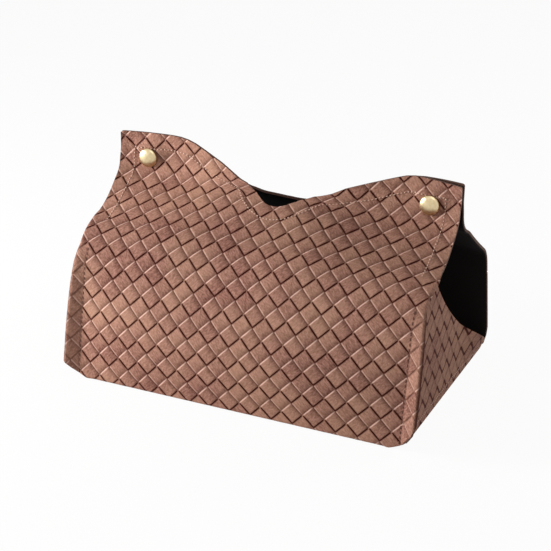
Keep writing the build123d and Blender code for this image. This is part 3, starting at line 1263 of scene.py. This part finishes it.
    def sheet(
        self,
        name: str,
        finishes: Finishes,
        span: Flat,
        cuts: Sequence[tuple],
        half: float,
        under: str,
        lined: bool = False,
    ) -> Piece:
        """Make one piece of the wrap.

        Args:
            name: Name of the piece.
            finishes: Materials.
            span: Distances at which the piece starts and ends.
            cuts: Line, axis and outer side of each cut.
            half: Half of its largest width.
            under: Name of the piece that it hangs from.
            lined: Whether it is a lining.

        Returns:
            The piece.
        """
        kind = PlainSheet() if lined else self.weave
        bm = kind.sheet((-half, span[0]), (half, span[1]))
        if not lined:
            for line, axis in self.creases(*span):
                score(bm, line, axis)
            self.paint_seam_shade(bm)
        for line, axis, outer in cuts:
            trim(bm, line, axis, outer)
        return self.finish(bm, name, finishes, lined, self.fold, Hold.FOLDED, under)


def stitch_rows(
    name: str,
    thread: Material,
    rows: Sequence[Line],
    weave: BasketWeave,
    fold: Fold,
    stitching: Stitching = Stitching(),
) -> Piece:
    """Make stitching on a folded sheet.

    Args:
        name: Name of the piece.
        thread: Its material.
        rows: Flat points of each row.
        weave: Surface that it lies on.
        fold: Gives the place of a flat point.
        stitching: Size of the stitches.

    Returns:
        The piece.
    """
    bm = bmesh.new()
    for row in rows:
        stitching.row(bm, row, weave.height)
    fold_up(bm, fold)
    return make_piece(bm, name, [thread], crisp=180.0)


def dress(piece: Piece, slot: Slot, *nodes: str) -> None:
    """Hide the CAD nodes that a piece stands for.

    Args:
        piece: The piece; not used.
        slot: Its slot; not used.
        nodes: Names of the nodes.
    """
    if nodes:
        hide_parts(*nodes)


def hang(piece: Piece, first: Body, second: Body, start: Flat, end: Flat) -> None:
    """Let a piece bend between two bodies.

    Args:
        piece: The piece.
        first: Body that it moves with up to the start.
        second: Body that it moves with from the end.
        start: Y and Z of the start, in millimetres.
        end: Y and Z of the end, in millimetres.
    """
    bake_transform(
        piece,
        first.value,
        second.value,
        start=(0.0, start[0] * MM, start[1] * MM),
        end=(0.0, end[0] * MM, end[1] * MM),
    )


def side_cuts(line: Line) -> list[tuple]:
    """Cuts of both sides of a sheet, whose right side is given."""
    return [(line, 1, 1), (mirrored(line), 1, -1)]


@dataclass
class FrontPanel:
    """Front wall with its sewn margins, front half of the roof and front ears."""

    wrap: Wrap
    finishes: Finishes
    seam_stitch: Stitching = Stitching(pitch=2.9, length=2.2, width=0.55)
    seam_ends: Flat = (3.0, -2.0)  # where its rows end, from the foot and from the shoulder
    edge_ease: Flat = (-0.4, -30.0)  # how far the side draws in, and how far from the shoulder
    edge_lap: float = 0.6  # share of the lap that is left half way from the shoulder to its end
    foot_from: float = 86.0  # where its lower edge leaves the joint under the base
    foot_rise: tuple[Flat, ...] = ((96.0, -1.0), (98.0, 0.0), (REACH, 0.0))  # place, and rise from the foot
    lining_rise: Flat = (1.0, 3.0)  # the lining widens from here over the roof's bend, over this length
    lining_from: float = 90.0  # where its lower edge leaves the bend
    lining_corner: tuple[float, Flat] = (94.5, (0.9, 2.9))  # a place, and its rise there and at the side
    bend_from: Flat = (-36.0, 87.9)
    bend_to: Flat = (-30.0, 97.0)

    @cached_property
    def start(self) -> float:
        """Distance at which the piece starts under the base."""
        bend = self.wrap.bend(Bend.FRONT_FOOT)[0]
        return bend + self.wrap.line.at(bend)[0].y + self.wrap.base_joint

    def top_line(self) -> list[Flat]:
        """Cut of the top edge."""
        wrap, low = self.wrap, self.wrap.middle(Bend.FRONT_ROOF)
        return [(x, wrap.distance_at(x, wrap.top.at(x), low, wrap.line.length)) for x in wrap.top.places()]

    def side_line(self, end: End) -> list[Flat]:
        """Cut of one side, from the foot up.

        Args:
            end: Which side.

        Returns:
            Points of the cut.
        """
        wrap = self.wrap
        edge = wrap.seam + wrap.flange_foot(end) + wrap.lap / 2
        half, shoulder = wrap.top.half_width, wrap.shoulder_rise
        line = [
            *((edge - inset, wrap.wall_foot + rise) for inset, rise in wrap.foot_cut(end)),
            (edge + wrap.lap / 2 + self.edge_ease[0], shoulder + self.edge_ease[1]),
            (wrap.seam + wrap.flange[1] + wrap.lap, shoulder),
            (half + wrap.lap * self.edge_lap, (shoulder + wrap.flange_end) / 2),
            (half, wrap.flange_end),
            (half, wrap.line.length + PAST),
        ]
        return [(end.value * s, t) for s, t in line]

    def foot_line(self) -> list[Flat]:
        """Cut of the lower edge: under the base, then up to the flange's foot."""
        foot = self.wrap.wall_foot
        return both_halves([(self.foot_from, self.start), *((x, foot + rise) for x, rise in self.foot_rise)])

    def lining_foot(self) -> list[Flat]:
        """Cut of the lining's lower edge, which clears the rounded corners of the foot.

        Returns:
            Points of the cut.
        """
        low, foot = self.wrap.middle(Bend.FRONT_FOOT), self.wrap.wall_foot
        place, (rise, last) = self.lining_corner
        side = self.wrap.lining_half + CLEAR
        return both_halves([(self.lining_from, low), (place, foot + rise), (side, foot + last)])

    def stitch_line(self) -> list[Flat]:
        """Row of stitches along the free edges.

        Returns:
            Points of the row.
        """
        wrap = self.wrap
        side = wrap.top.half_width - wrap.hem
        edge = [p for p in inset_line(self.top_line(), wrap.hem) if abs(p[0]) < side - 1.0]
        low = wrap.bend(Bend.FRONT_ROOF)[1]
        corner = edge[0][1]
        return [(-side, low), (-side, corner), *edge, (side, corner), (side, low)]

    def seam_lines(self) -> list[list[Flat]]:
        """Lay out the stitches down the corner seams.

        Returns:
            Both rows.
        """
        wrap = self.wrap
        ends = (wrap.wall_foot + self.seam_ends[0], wrap.shoulder_rise + self.seam_ends[1])
        return [[(x, t) for t in ends] for x in (-wrap.seam, wrap.seam)]

    def build(self) -> None:
        """Build the front's pieces and tie them to the frame."""
        wrap, finishes, length = self.wrap, self.finishes, self.wrap.line.length
        reach = wrap.seam + max(wrap.flange_foot(end) for end in End) + wrap.lap
        top = self.top_line()
        cuts = [(self.foot_line(), 0, -1), (top, 0, 1), *((self.side_line(end), 1, end.value) for end in End)]
        leather = wrap.sheet("front_leather", finishes, (self.start, length), cuts, reach, "base_leather")
        half, inside = wrap.top.half_width - wrap.lining_gap, wrap.lining_half
        rise = wrap.bend(Bend.FRONT_ROOF)[0] + self.lining_rise[0]
        inner = [(inside, 0.0), (inside, rise), (half, rise + self.lining_rise[1]), (half, length + PAST)]
        lowered = [(s, t - wrap.lining_drop) for s, t in top]
        cuts = [*side_cuts(inner), (self.lining_foot(), 0, -1), (lowered, 0, 1)]
        span = (wrap.middle(Bend.FRONT_FOOT), length)
        lining = wrap.sheet("front_lining", finishes, span, cuts, half, leather.name, lined=True)
        cloth = (wrap.weave, wrap.fold)
        thread = stitch_rows("front_stitching", finishes.thread, [self.stitch_line()], *cloth)
        rows = self.seam_lines()
        # stitches of the corner seams, with the seams' shade painted into their thread
        seams = stitch_rows("seam_stitching", finishes.shaded_seam_thread, rows, *cloth, self.seam_stitch)
        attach(seams, Body.TRAY.value)
        dress(seams, Slot.LEATHER)
        for piece in (leather, lining, thread):
            hang(piece, Body.TRAY, Body.FRONT_FLAP, self.bend_from, self.bend_to)
        dress(leather, Slot.LEATHER, "front_wall", "front_flap")
        dress(lining, Slot.LINING, "front_wall_lining", "front_flap_lining")
        dress(thread, Slot.LEATHER)


@dataclass
class BasePanel:
    """Base of the tray: a flat sheet between the bends of front and back."""

    wrap: Wrap
    finishes: Finishes
    tongue: float = 68.0  # how far its front corners reach
    tongue_from: float = 84.0  # where they leave the joint
    tongue_knee: Flat = (92.0, 4.0)  # a place, and how far short of the corner they are there
    lined: Flat = (66.4, -69.4)  # where its lining meets those of the back and the front
    lining_corner: Flat = (88.0, 5.0)  # its front corners are cut aslant from here, by this much

    @cached_property
    def start(self) -> float:
        """Distance at which the base starts at the back."""
        return self.wrap.bend(Bend.BACK_FOOT)[1]

    def fold(self, flat: Vector) -> Vector:
        """Lay a flat point of the base on the table."""
        return Vector((flat.x, self.wrap.line.at(self.start)[0].y - (flat.y - self.start), -flat.z))

    def distance(self, y: float) -> float:
        """Flat distance of a place on the base."""
        return self.start + self.wrap.line.at(self.start)[0].y - y

    def build(self) -> None:
        """Build the base's pieces and tie them to the frame."""
        wrap, half, finishes = self.wrap, self.wrap.base_half, self.finishes
        back, front = (self.distance(y) for y in (wrap.base_joint, -wrap.base_joint))
        end = self.distance(-self.tongue)
        bm = wrap.weave.sheet((-half, back), (half, end))
        place, short = self.tongue_knee
        corner = [(self.tongue_from, front), (place, self.distance(short - self.tongue)), (half + 1.0, end)]
        trim(bm, both_halves(corner), 0, 1)
        trim(bm, [(-half, back), (half, back)], 0, -1)
        for side in (-1, 1):
            trim(bm, [(side * half, back), (side * half, front)], 1, side)
        leather = wrap.finish(bm, "base_leather", finishes, False, self.fold, Hold.LAID)

        inner, (first, last) = wrap.lining_half, self.lined
        bm = PlainSheet().sheet((-inner, self.distance(first)), (inner, self.distance(last)))
        place, slant = self.lining_corner
        corner = [(place, self.distance(last)), (inner + CLEAR, self.distance(last + slant))]
        trim(bm, both_halves(corner), 0, 1)
        lining = wrap.finish(bm, "base_lining_sheet", finishes, True, self.fold, Hold.LAID, leather.name)
        for piece in (leather, lining):
            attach(piece, Body.TRAY.value)
        dress(leather, Slot.LEATHER, "base_panel")
        dress(lining, Slot.LINING, "base_lining")


@dataclass
class BackPanel:
    """Back wall that swings on the base, back half of the roof and back ears."""

    wrap: Wrap
    finishes: Finishes
    split: float = 36.0  # height of the joint between its lower and upper pieces
    taper: Flat = (4.0, 16.0)  # heights between which its sides widen
    taper_insets: Flat = (2.5, 0.8)  # how far in they are at the first and half way
    shortfall: float = 8.5  # how much lower than the front it is cut at the dip
    ear_shortfall: Flat = (3.2, 1.2)  # the same at the left and the right ear
    ear_range: Flat = (40.0, 80.0)  # places between which the one becomes the other
    foot_from: Flat = (68.9, 3.5)
    foot_to: Flat = (66.6, 13.0)
    fold_from: Flat = (57.2, 56.5)
    fold_to: Flat = (50.4, 75.5)

    @cached_property
    def end(self) -> float:
        """Distance at which the sheet ends under the base."""
        bend = self.wrap.bend(Bend.BACK_FOOT)[1]
        return bend + self.wrap.line.at(bend)[0].y - self.wrap.base_joint

    def height_at(self, height: float) -> float:
        """Distance at which the wall reaches a height."""
        high, low = self.wrap.bend(Bend.BACK_ROOF)[1], self.wrap.bend(Bend.BACK_FOOT)[1]
        return self.wrap.distance_at(0.0, height, low, high)

    def top_line(self) -> list[Flat]:
        """Cut of the top edge.

        Returns:
            Points of the cut.
        """
        wrap = self.wrap
        low = wrap.middle(Bend.BACK_ROOF)
        line = []
        for x in wrap.top.places():
            ear = self.ear_shortfall[x > 0]
            short = self.shortfall + (ear - self.shortfall) * smoothstep(*self.ear_range, abs(x))
            line.append((x, wrap.distance_at(x, wrap.top.level(x) - short, low, 0.0)))
        return line

    def side_line(self) -> list[Flat]:
        """Cut of the right side, from the top down and round to the base.

        Returns:
            Points of the cut.
        """
        wrap = self.wrap
        half, (low, high) = wrap.top.half_width, self.taper
        return [
            (half, -PAST),
            (half, self.height_at(high)),
            (half - self.taper_insets[1], self.height_at((low + high) / 2)),
            (half - self.taper_insets[0], self.height_at(low)),
            (wrap.base_half, wrap.middle(Bend.BACK_FOOT)),
            (wrap.base_half, self.end + PAST),
        ]

    def stitch_lines(self) -> tuple[list[list[Flat]], list[list[Flat]]]:
        """Rows of stitches.

        Returns:
            Those of the upper piece and those of the lower one.
        """
        wrap = self.wrap
        side = wrap.top.half_width - wrap.hem
        turned = [(s, -t) for s, t in self.top_line()]
        edge = [(s, -t) for s, t in inset_line(turned, wrap.hem) if abs(s) < side - 1.0]
        split = self.height_at(self.split)
        corner = edge[0][1]
        hem = [(-side, split), (-side, corner), *edge, (side, corner), (side, split)]
        foot = self.height_at(self.taper[1])
        return [hem], [[(x, split), (x, foot)] for x in (-side, side)]

    def build(self) -> None:
        """Build the back's pieces and tie them to the frame."""
        wrap, half, split = self.wrap, self.wrap.top.half_width, self.height_at(self.split)
        side, top = self.side_line(), self.top_line()
        joint = [(-half, split), (half, split)]
        foot = [(-half, self.end), (half, self.end)]
        inner = [(s - wrap.lining_gap, t) for s, t in side]
        lowered = [(s, t + wrap.lining_drop) for s, t in top]
        upper, lower = (0.0, split), (split, self.end)
        lined = (split, wrap.middle(Bend.BACK_FOOT))
        upper_cuts = [*side_cuts(side[:2]), (top, 0, -1), (joint, 0, 1)]
        upper_lining_cuts = [*side_cuts(inner[:2]), (lowered, 0, -1)]
        lower_cuts = [*side_cuts(side), (joint, 0, -1), (foot, 0, 1)]
        rows = (
            ("back_upper_leather", upper, upper_cuts, "back_lower_leather", False),
            ("back_upper_lining", upper, upper_lining_cuts, "back_upper_leather", True),
            ("back_lower_leather", lower, lower_cuts, "base_leather", False),
            ("back_lower_lining", lined, side_cuts(inner), "back_lower_leather", True),
        )
        pieces = []
        for name, span, cuts, under, is_lining in rows:
            pieces.append(wrap.sheet(name, self.finishes, span, cuts, half, under, is_lining))
        for name, lines in zip(("back_upper_stitching", "back_lower_stitching"), self.stitch_lines()):
            pieces.append(stitch_rows(name, self.finishes.thread, lines, wrap.weave, wrap.fold))
        for number in (0, 1, 4):
            hang(pieces[number], Body.BACK_WALL, Body.BACK_FLAP, self.fold_from, self.fold_to)
        for number in (2, 3, 5):
            hang(pieces[number], Body.TRAY, Body.BACK_WALL, self.foot_from, self.foot_to)
        dress(pieces[0], Slot.LEATHER, "back_flap")
        dress(pieces[1], Slot.LINING, "back_flap_lining")
        dress(pieces[2], Slot.LEATHER, "back_wall")
        dress(pieces[3], Slot.LINING, "back_wall_lining")
        for piece in pieces[4:]:
            dress(piece, Slot.LEATHER)


@dataclass
class Wing:
    """End wall of the tray, sewn behind the front's flange and hollowed down to the back.

    Flat coordinates are d, the distance behind the front wall's outer face and square to it, and t, the
    wrap's distance up the front wall.
    """

    wrap: Wrap
    finishes: Finishes
    end: End
    # fainter painted highlights and painted shade under the rims than the default weave, and wider dark lines
    weave: BasketWeave = BasketWeave(
        lips=(0.3, 0.2),
        tucks=(0.3, 0.3),
        ink_and_shadow=0.35,
        breaks=(0.5, 0.6),
        lines=(0.015, 0.08, 0.14, 0.33, 0.67, 0.86, 0.92, 0.985),
    )
    plane: float = 101.0
    crook: float = 1.5  # bend where the margin turns out behind the flange
    settle: float = 12.0  # distance behind that bend over which the wing leaves the curved wall
    lean: float = 3.5  # how far the loose tail leans out
    lean_from: float = 20.0
    tail: Flat = (65.1, 8.5)
    hollow: Flat = (-3.0, 47.0)  # point that draws the top edge down
    hollow_steps: int = 14
    clear: float = 2.5  # the top lies this far under the roof's outer face
    roof_step: float = 3.0
    under_shoulder: float = 5.0  # the margin ends this far under the shoulder
    foot_run: float = 9.0  # distance behind the bend at which the foot comes down to the base
    span: Flat = (-80.0, 80.0)  # places beyond its front and its tail
    cut_back: Flat = (1.2, 1.0)  # how far in and up its foot is cut from that of the flange
    lined: float = 2.0  # how far behind the front wall's outer face its lining starts
    lining_foot: float = 1.8
    lining_gap: float = 0.5  # how far its lining stays inside the top edge and the tail
    lining_steps: int = 6
    stitch_rise: float = 4.8
    stitch_from: float = -58.0
    stitch_end: float = 3.0  # distance from the tail

    def crook_end(self, t: float) -> tuple[float, float, float]:
        """Plan of the margin at a height.

        Args:
            t: Distance up the wall.

        Returns:
            Where the wing's plane starts, the margin's flat and its angle.
        """
        wrap = self.wrap
        angle = wrap.flange_angle(t)
        runs = wrap.flange_runs(t, self.end)
        out, forward, _ = walk(runs, length_of(runs))
        flat = (wrap.seam + out - self.plane - self.crook * (1 - math.sin(angle))) / math.cos(angle)
        return flat * math.sin(angle) + self.crook * math.cos(angle) - forward, flat, angle

    def edge(self, t: float) -> float:
        """Flat place of the margin's edge at a height."""
        start, straight, angle = self.crook_end(t)
        return start - straight - self.crook * (math.pi / 2 - angle)

    def fold(self, flat: Vector) -> Vector:
        """Fold a flat point of the wing into place.

        Args:
            flat: d, t and height over the rims of the strands.

        Returns:
            The point in the shared frame.
        """
        d, t, n = flat
        start, straight, angle = self.crook_end(t)
        wall, normal = self.wrap.straight_wall(t), self.wrap.wall_start[1]
        wall = wall + self.wrap.drawn_back(t) * smoothstep(start + self.settle, start, d)
        if d < start:
            turn = math.pi / 2 - angle
            runs = [Run(self.crook * turn, -1 / self.crook), Run(straight)]
            across, ahead, heading = walk(runs, start - d, math.pi / 2)
            x = self.plane + across + n * math.sin(heading)
            point = wall + normal * (ahead - start - n * math.cos(heading))
        else:
            x = self.plane + n
            point = wall - normal * d
        x += self.lean * smoothstep(self.lean_from, self.tail[0], point.y) * point.z / self.tail[1]
        return Vector((self.end.value * x, point.y, max(0.0, point.z)))

    def lining_front(self, t: float) -> float:
        """Flat place at which the lining starts at a height, on the front wall's lining.

        Args:
            t: Distance up the wall.

        Returns:
            The place.
        """
        start = self.crook_end(t)[0]
        reach = self.crook + self.wrap.leather + self.wrap.lining
        turned = math.asin(min(1.0, max(0.0, (start - self.lined) / reach)))
        return max(self.lined, start) - self.crook * turned

    def flat_of(self, y: float, z: float) -> Flat:
        """Flat coordinates of a place on the wing's plane.

        Args:
            y: Y of the place.
            z: Z of the place.

        Returns:
            Its d and t.
        """
        point, normal = self.wrap.wall_start
        step = Vector((0.0, y, z)) - point
        along = Vector((0.0, normal.z, -normal.y))
        return -step.dot(normal), self.wrap.bend(Bend.FRONT_FOOT)[1] + step.dot(along)

    def bottom_line(self) -> list[Flat]:
        """Cut of the foot: round the flange's corner, then along the base.

        Returns:
            Points of the cut.
        """
        wrap = self.wrap
        start, foot = self.crook_end(wrap.wall_foot)[0], wrap.wall_foot
        edge = self.edge(foot) - wrap.lap / 2
        corner = []
        for inset, rise in reversed(wrap.foot_cut(self.end)):
            corner.append((edge + (inset + self.cut_back[0]), foot + (rise + self.cut_back[1])))
        first = self.flat_of(wrap.straight_wall(foot).y + start + self.foot_run, 0.0)
        return [(corner[0][0] - PAST, corner[0][1] + PAST), *corner, first, self.flat_of(self.span[1], 0.0)]

    def top_line(self, drop: float = 0.0) -> list[Flat]:
        """Cut of the top: over the margin, under the roof, then hollowed down to the tail.

        Args:
            drop: How far below the leather's edge to cut.

        Returns:
            Points of the cut.
        """
        wrap = self.wrap
        rise = wrap.shoulder_rise - self.under_shoulder
        start = self.crook_end(rise)[0]
        roof = []
        t = wrap.bend(Bend.FRONT_ROOF)[0]
        while True:
            place = wrap.fold(Vector((self.plane, t, -self.clear - drop)))
            if place.y > wrap.tip:
                break
            flat = self.flat_of(place.y, place.z)
            if flat[0] > start + 0.6:
                roof.append(flat)
            t += self.roof_step
        first, middle, last = Vector((place.y, place.z)), Vector(self.hollow), Vector(self.tail)
        curve = []
        for k in range(self.hollow_steps + 1):
            share = k / self.hollow_steps
            bent = first.lerp(middle, share).lerp(middle.lerp(last, share), share)
            curve.append(self.flat_of(bent.x, bent.y - drop))
        end = self.flat_of(90.0, self.tail[1] - drop)
        return [(start - 20.0, rise), (start, rise + 1.0), *roof, *curve, end]

    def build(self) -> None:
        """Build the wing's pieces and tie them to the frame."""
        wrap, finishes, name = self.wrap, self.finishes, self.end.name.lower()
        foot, shoulder = wrap.wall_foot, wrap.shoulder_rise
        margin = [(self.edge(t), t) for t in (foot - 6.0, foot, (foot + shoulder) / 2, shoulder)]
        tail = [self.flat_of(self.tail[0] + 2.2, -2.0), self.flat_of(*self.tail)]
        low, high = self.flat_of(70.0, -4.0), self.flat_of(wrap.tip, 92.0)
        corner = (margin[1][0] - 2.0, min(low[1], foot) - PAST)
        bm = self.weave.sheet(corner, (low[0] + PAST, high[1]))
        trim(bm, self.bottom_line(), 0, -1)
        trim(bm, self.top_line(), 0, 1)
        trim(bm, tail, 1, 1)
        trim(bm, margin, 1, -1)
        under = ("front_leather", "base_leather")
        leather = wrap.finish(bm, f"{name}_wing_leather", finishes, False, self.fold, Hold.FOLDED, *under)

        bm = PlainSheet().sheet((self.lined - 1.0, foot - 30.0), (low[0], high[1]))
        trim(bm, [self.flat_of(y, self.lining_foot) for y in self.span], 0, -1)
        steps = self.lining_steps
        rows = [foot + (shoulder - foot) * k / steps for k in range(steps + 1)]
        rows.append(shoulder + 20.0)
        trim(bm, [(self.lining_front(t), t) for t in rows], 1, -1)
        trim(bm, self.top_line(self.lining_gap), 0, 1)
        trim(bm, [(d - self.lining_gap, t) for d, t in tail], 1, 1)
        sheet = f"{name}_wing_lining_sheet"
        lining = wrap.finish(bm, sheet, finishes, True, self.fold, Hold.FOLDED, leather.name)

        ends = (self.stitch_from, self.tail[0] - self.stitch_end)
        row = [self.flat_of(y, self.stitch_rise) for y in ends]
        thread = stitch_rows(f"{name}_wing_stitching", finishes.thread, [row], self.weave, self.fold)
        for piece in (leather, lining, thread):
            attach(piece, Body.TRAY.value)
        dress(leather, Slot.LEATHER, f"{name}_wing")
        dress(lining, Slot.LINING, f"{name}_wing_lining")
        dress(thread, Slot.LEATHER)


@dataclass
class SnapFastener:
    """One snap: a domed cap on the front ear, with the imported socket, spring, stud and post behind it."""

    place: Flat
    finishes: Finishes
    end: End
    face: float = -4.1
    radius: float = 5.8
    height: float = 3.4
    rim: float = 0.9
    rolled: tuple[Flat, ...] = ((0.0, 0.5), (0.2, 0.15), (0.7, 0.0), (0.9, 0.25))  # inset and height
    angles: tuple[int, ...] = (*range(8, 81, 8), 86)
    steps: int = 36

    def section(self) -> list[Flat]:
        """Section of the cap from its top round the rolled rim to the middle of its underside.

        Returns:
            Radius and height of each point.
        """
        rise = self.height - self.rim
        turns = [math.radians(angle) for angle in self.angles]
        arc = [(self.radius * math.sin(a), self.rim + rise * math.cos(a)) for a in turns]
        edge = [(self.radius - inset, height) for inset, height in self.rolled]
        return [(0.0, self.height), *arc, (self.radius, self.rim), *edge, (0.0, self.rolled[-1][1])]

    def build(self) -> None:
        """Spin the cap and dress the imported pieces."""
        name = self.end.name.lower()
        bm = bmesh.new()
        verts = [bm.verts.new((r, 0.0, h)) for r, h in self.section()]
        edges = [bm.edges.new(pair) for pair in zip(verts, verts[1:])]
        bmesh.ops.spin(
            bm,
            geom=verts + edges,
            cent=(0.0, 0.0, 0.0),
            axis=(0.0, 0.0, 1.0),
            angle=math.tau,
            steps=self.steps,
            use_merge=True,
        )
        bmesh.ops.remove_doubles(bm, verts=bm.verts, dist=JOINED)
        place = Matrix.Translation((self.end.value * self.place[0], self.face, self.place[1]))
        bmesh.ops.transform(bm, matrix=place @ Matrix.Rotation(math.pi / 2, 4, "X"), verts=bm.verts)
        bmesh.ops.recalc_face_normals(bm, faces=bm.faces)
        cap = make_piece(bm, f"{name}_cap_dome", [self.finishes.brass])
        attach(cap, Body.FRONT_FLAP.value)
        dress(cap, Slot.BRASS, f"{name}_snap_cap")
        for part in ("snap_socket", "snap_stud", "snap_post"):
            self.paint(f"{name}_{part}", self.finishes.brass)
        self.paint(f"{name}_socket_spring", self.finishes.steel)

    def paint(self, node: str, material: Material) -> None:
        """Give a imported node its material.

        Args:
            node: Name of the node.
            material: Its material.
        """
        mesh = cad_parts[node].data
        mesh.materials.clear()
        mesh.materials.append(material)
        LOG.info("%s: packed shape, %s", node, material.name)


@dataclass(frozen=True)
class Viewpoint:
    """Camera of the photograph's view, by its angles round a point near the middle of the object."""

    azimuth: float = 24.01
    elevation: float = 23.6
    roll: float = 0.87
    distance: float = 927.37
    height: float = 65.0
    shift: Flat = (-5.82, -8.88)
    lens: float = 104.02

    def build(self) -> None:
        """Make the camera and use it for the scene."""
        a, e, r = (math.radians(v) for v in (self.azimuth, self.elevation, self.roll))
        back = Vector((math.sin(a) * math.cos(e), -math.cos(a) * math.cos(e), math.sin(e)))
        right = Vector((math.cos(a), math.sin(a), 0.0))
        up = back.cross(right)
        centre = Vector((0.0, 0.0, self.height)) + right * self.shift[0] + up * self.shift[1]
        axes = (
            right * math.cos(r) + up * math.sin(r),
            up * math.cos(r) - right * math.sin(r),
            back,
        )
        data = bpy.data.cameras.new("viewpoint")
        data.lens = self.lens
        data.clip_end = 20.0
        camera = bpy.data.objects.new("viewpoint", data)
        turn = Matrix(axes).transposed().to_4x4()
        camera.matrix_world = Matrix.Translation((centre + back * self.distance) * MM) @ turn
        bpy.context.scene.collection.objects.link(camera)
        bpy.context.scene.camera = camera


@dataclass(frozen=True)
class Lamp:
    """Soft round white lamp aimed at a point of the object, in metres."""

    name: str
    place: tuple[float, float, float]
    size: float
    power: float
    aim: tuple[float, float, float] = (0.0, 0.0, 0.06)

    def build(self) -> None:
        """Make the lamp."""
        data = bpy.data.lights.new(self.name, "AREA")
        data.shape = "DISK"
        data.size = self.size
        data.energy = self.power
        lamp = bpy.data.objects.new(self.name, data)
        lamp.location = self.place
        lamp.visible_camera = False
        lamp.rotation_euler = (Vector(self.aim) - Vector(self.place)).to_track_quat("-Z", "Y").to_euler()
        bpy.context.scene.collection.objects.link(lamp)


@dataclass
class Studio:
    """White surroundings with soft light from the upper left."""

    lamps: tuple[Lamp, ...] = (
        Lamp("key", (-0.66, -0.28, 0.21), 0.32, 7.8),
        Lamp("fill", (0.4, -0.5, 1.2), 0.9, 2.7),
        Lamp("rim", (0.6, 0.5, 0.5), 0.4, 1.6),
    )
    ambient: float = 0.2
    floor_size: float = 6.0  # metres
    floor_drop: float = 0.4  # the floor lies this far under the object, so that the two never mingle
    paper: str = "#F4F4F4"
    glow: float = 0.94  # how much of the floor is plain white to an eye

    def white(self, node: Callable) -> bpy.types.NodeSocket:
        """Add a switch that is 1 for rays that look straight or by reflection at the surroundings.

        Args:
            node: Function that adds a node.

        Returns:
            Output of the switch.
        """
        path = node("LightPath").node.outputs
        seen = node("Math", {0: path["Is Camera Ray"], 1: path["Is Glossy Ray"]}, operation="MAXIMUM")
        return node("Math", {0: seen, 1: path["Is Transmission Ray"]}, operation="MAXIMUM")

    def build(self) -> None:
        """Make world, floor and lamps."""
        world = bpy.data.worlds.new("studio")
        bpy.context.scene.world = world
        world.use_nodes = True
        world.node_tree.nodes.clear()
        node = partial(add_node, world.node_tree)
        strength = node("MapRange", {"Value": self.white(node), "To Min": self.ambient, "To Max": 1.0})
        light = node("Background", {"Color": linear("#FFFFFF"), "Strength": strength})
        node("OutputWorld", {"Surface": light})

        bm = bmesh.new()
        bmesh.ops.create_grid(bm, x_segments=1, y_segments=1, size=self.floor_size / 2 / MM)
        bmesh.ops.translate(bm, vec=(0.0, 0.0, -self.floor_drop), verts=bm.verts)
        material, node = new_material("white_paper")
        shade = node("BsdfDiffuse", {"Color": linear(self.paper)})
        glow = node("Emission", {"Color": linear("#FFFFFF"), "Strength": 1.0})
        share = node("Math", {0: self.white(node), 1: self.glow}, operation="MULTIPLY")
        node("OutputMaterial", {"Surface": node("MixShader", {0: share, 1: shade, 2: glow})})
        make_piece(bm, "floor", [material])
        for lamp in self.lamps:
            lamp.build()
        bpy.context.scene.view_settings.view_transform = "Standard"


def main() -> None:
    """Build the studio and dress the frame, piece by piece."""
    logging.basicConfig(level=logging.INFO, format="%(name)s %(message)s")
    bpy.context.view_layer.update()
    Viewpoint().build()
    Studio().build()
    finishes = Finishes()
    wrap = Wrap()
    FrontPanel(wrap, finishes).build()
    BasePanel(wrap, finishes).build()
    BackPanel(wrap, finishes).build()
    for end in End:
        Wing(wrap, finishes, end).build()
        SnapFastener(wrap.snap, finishes, end).build()


if __name__ == "__main__":
    main()
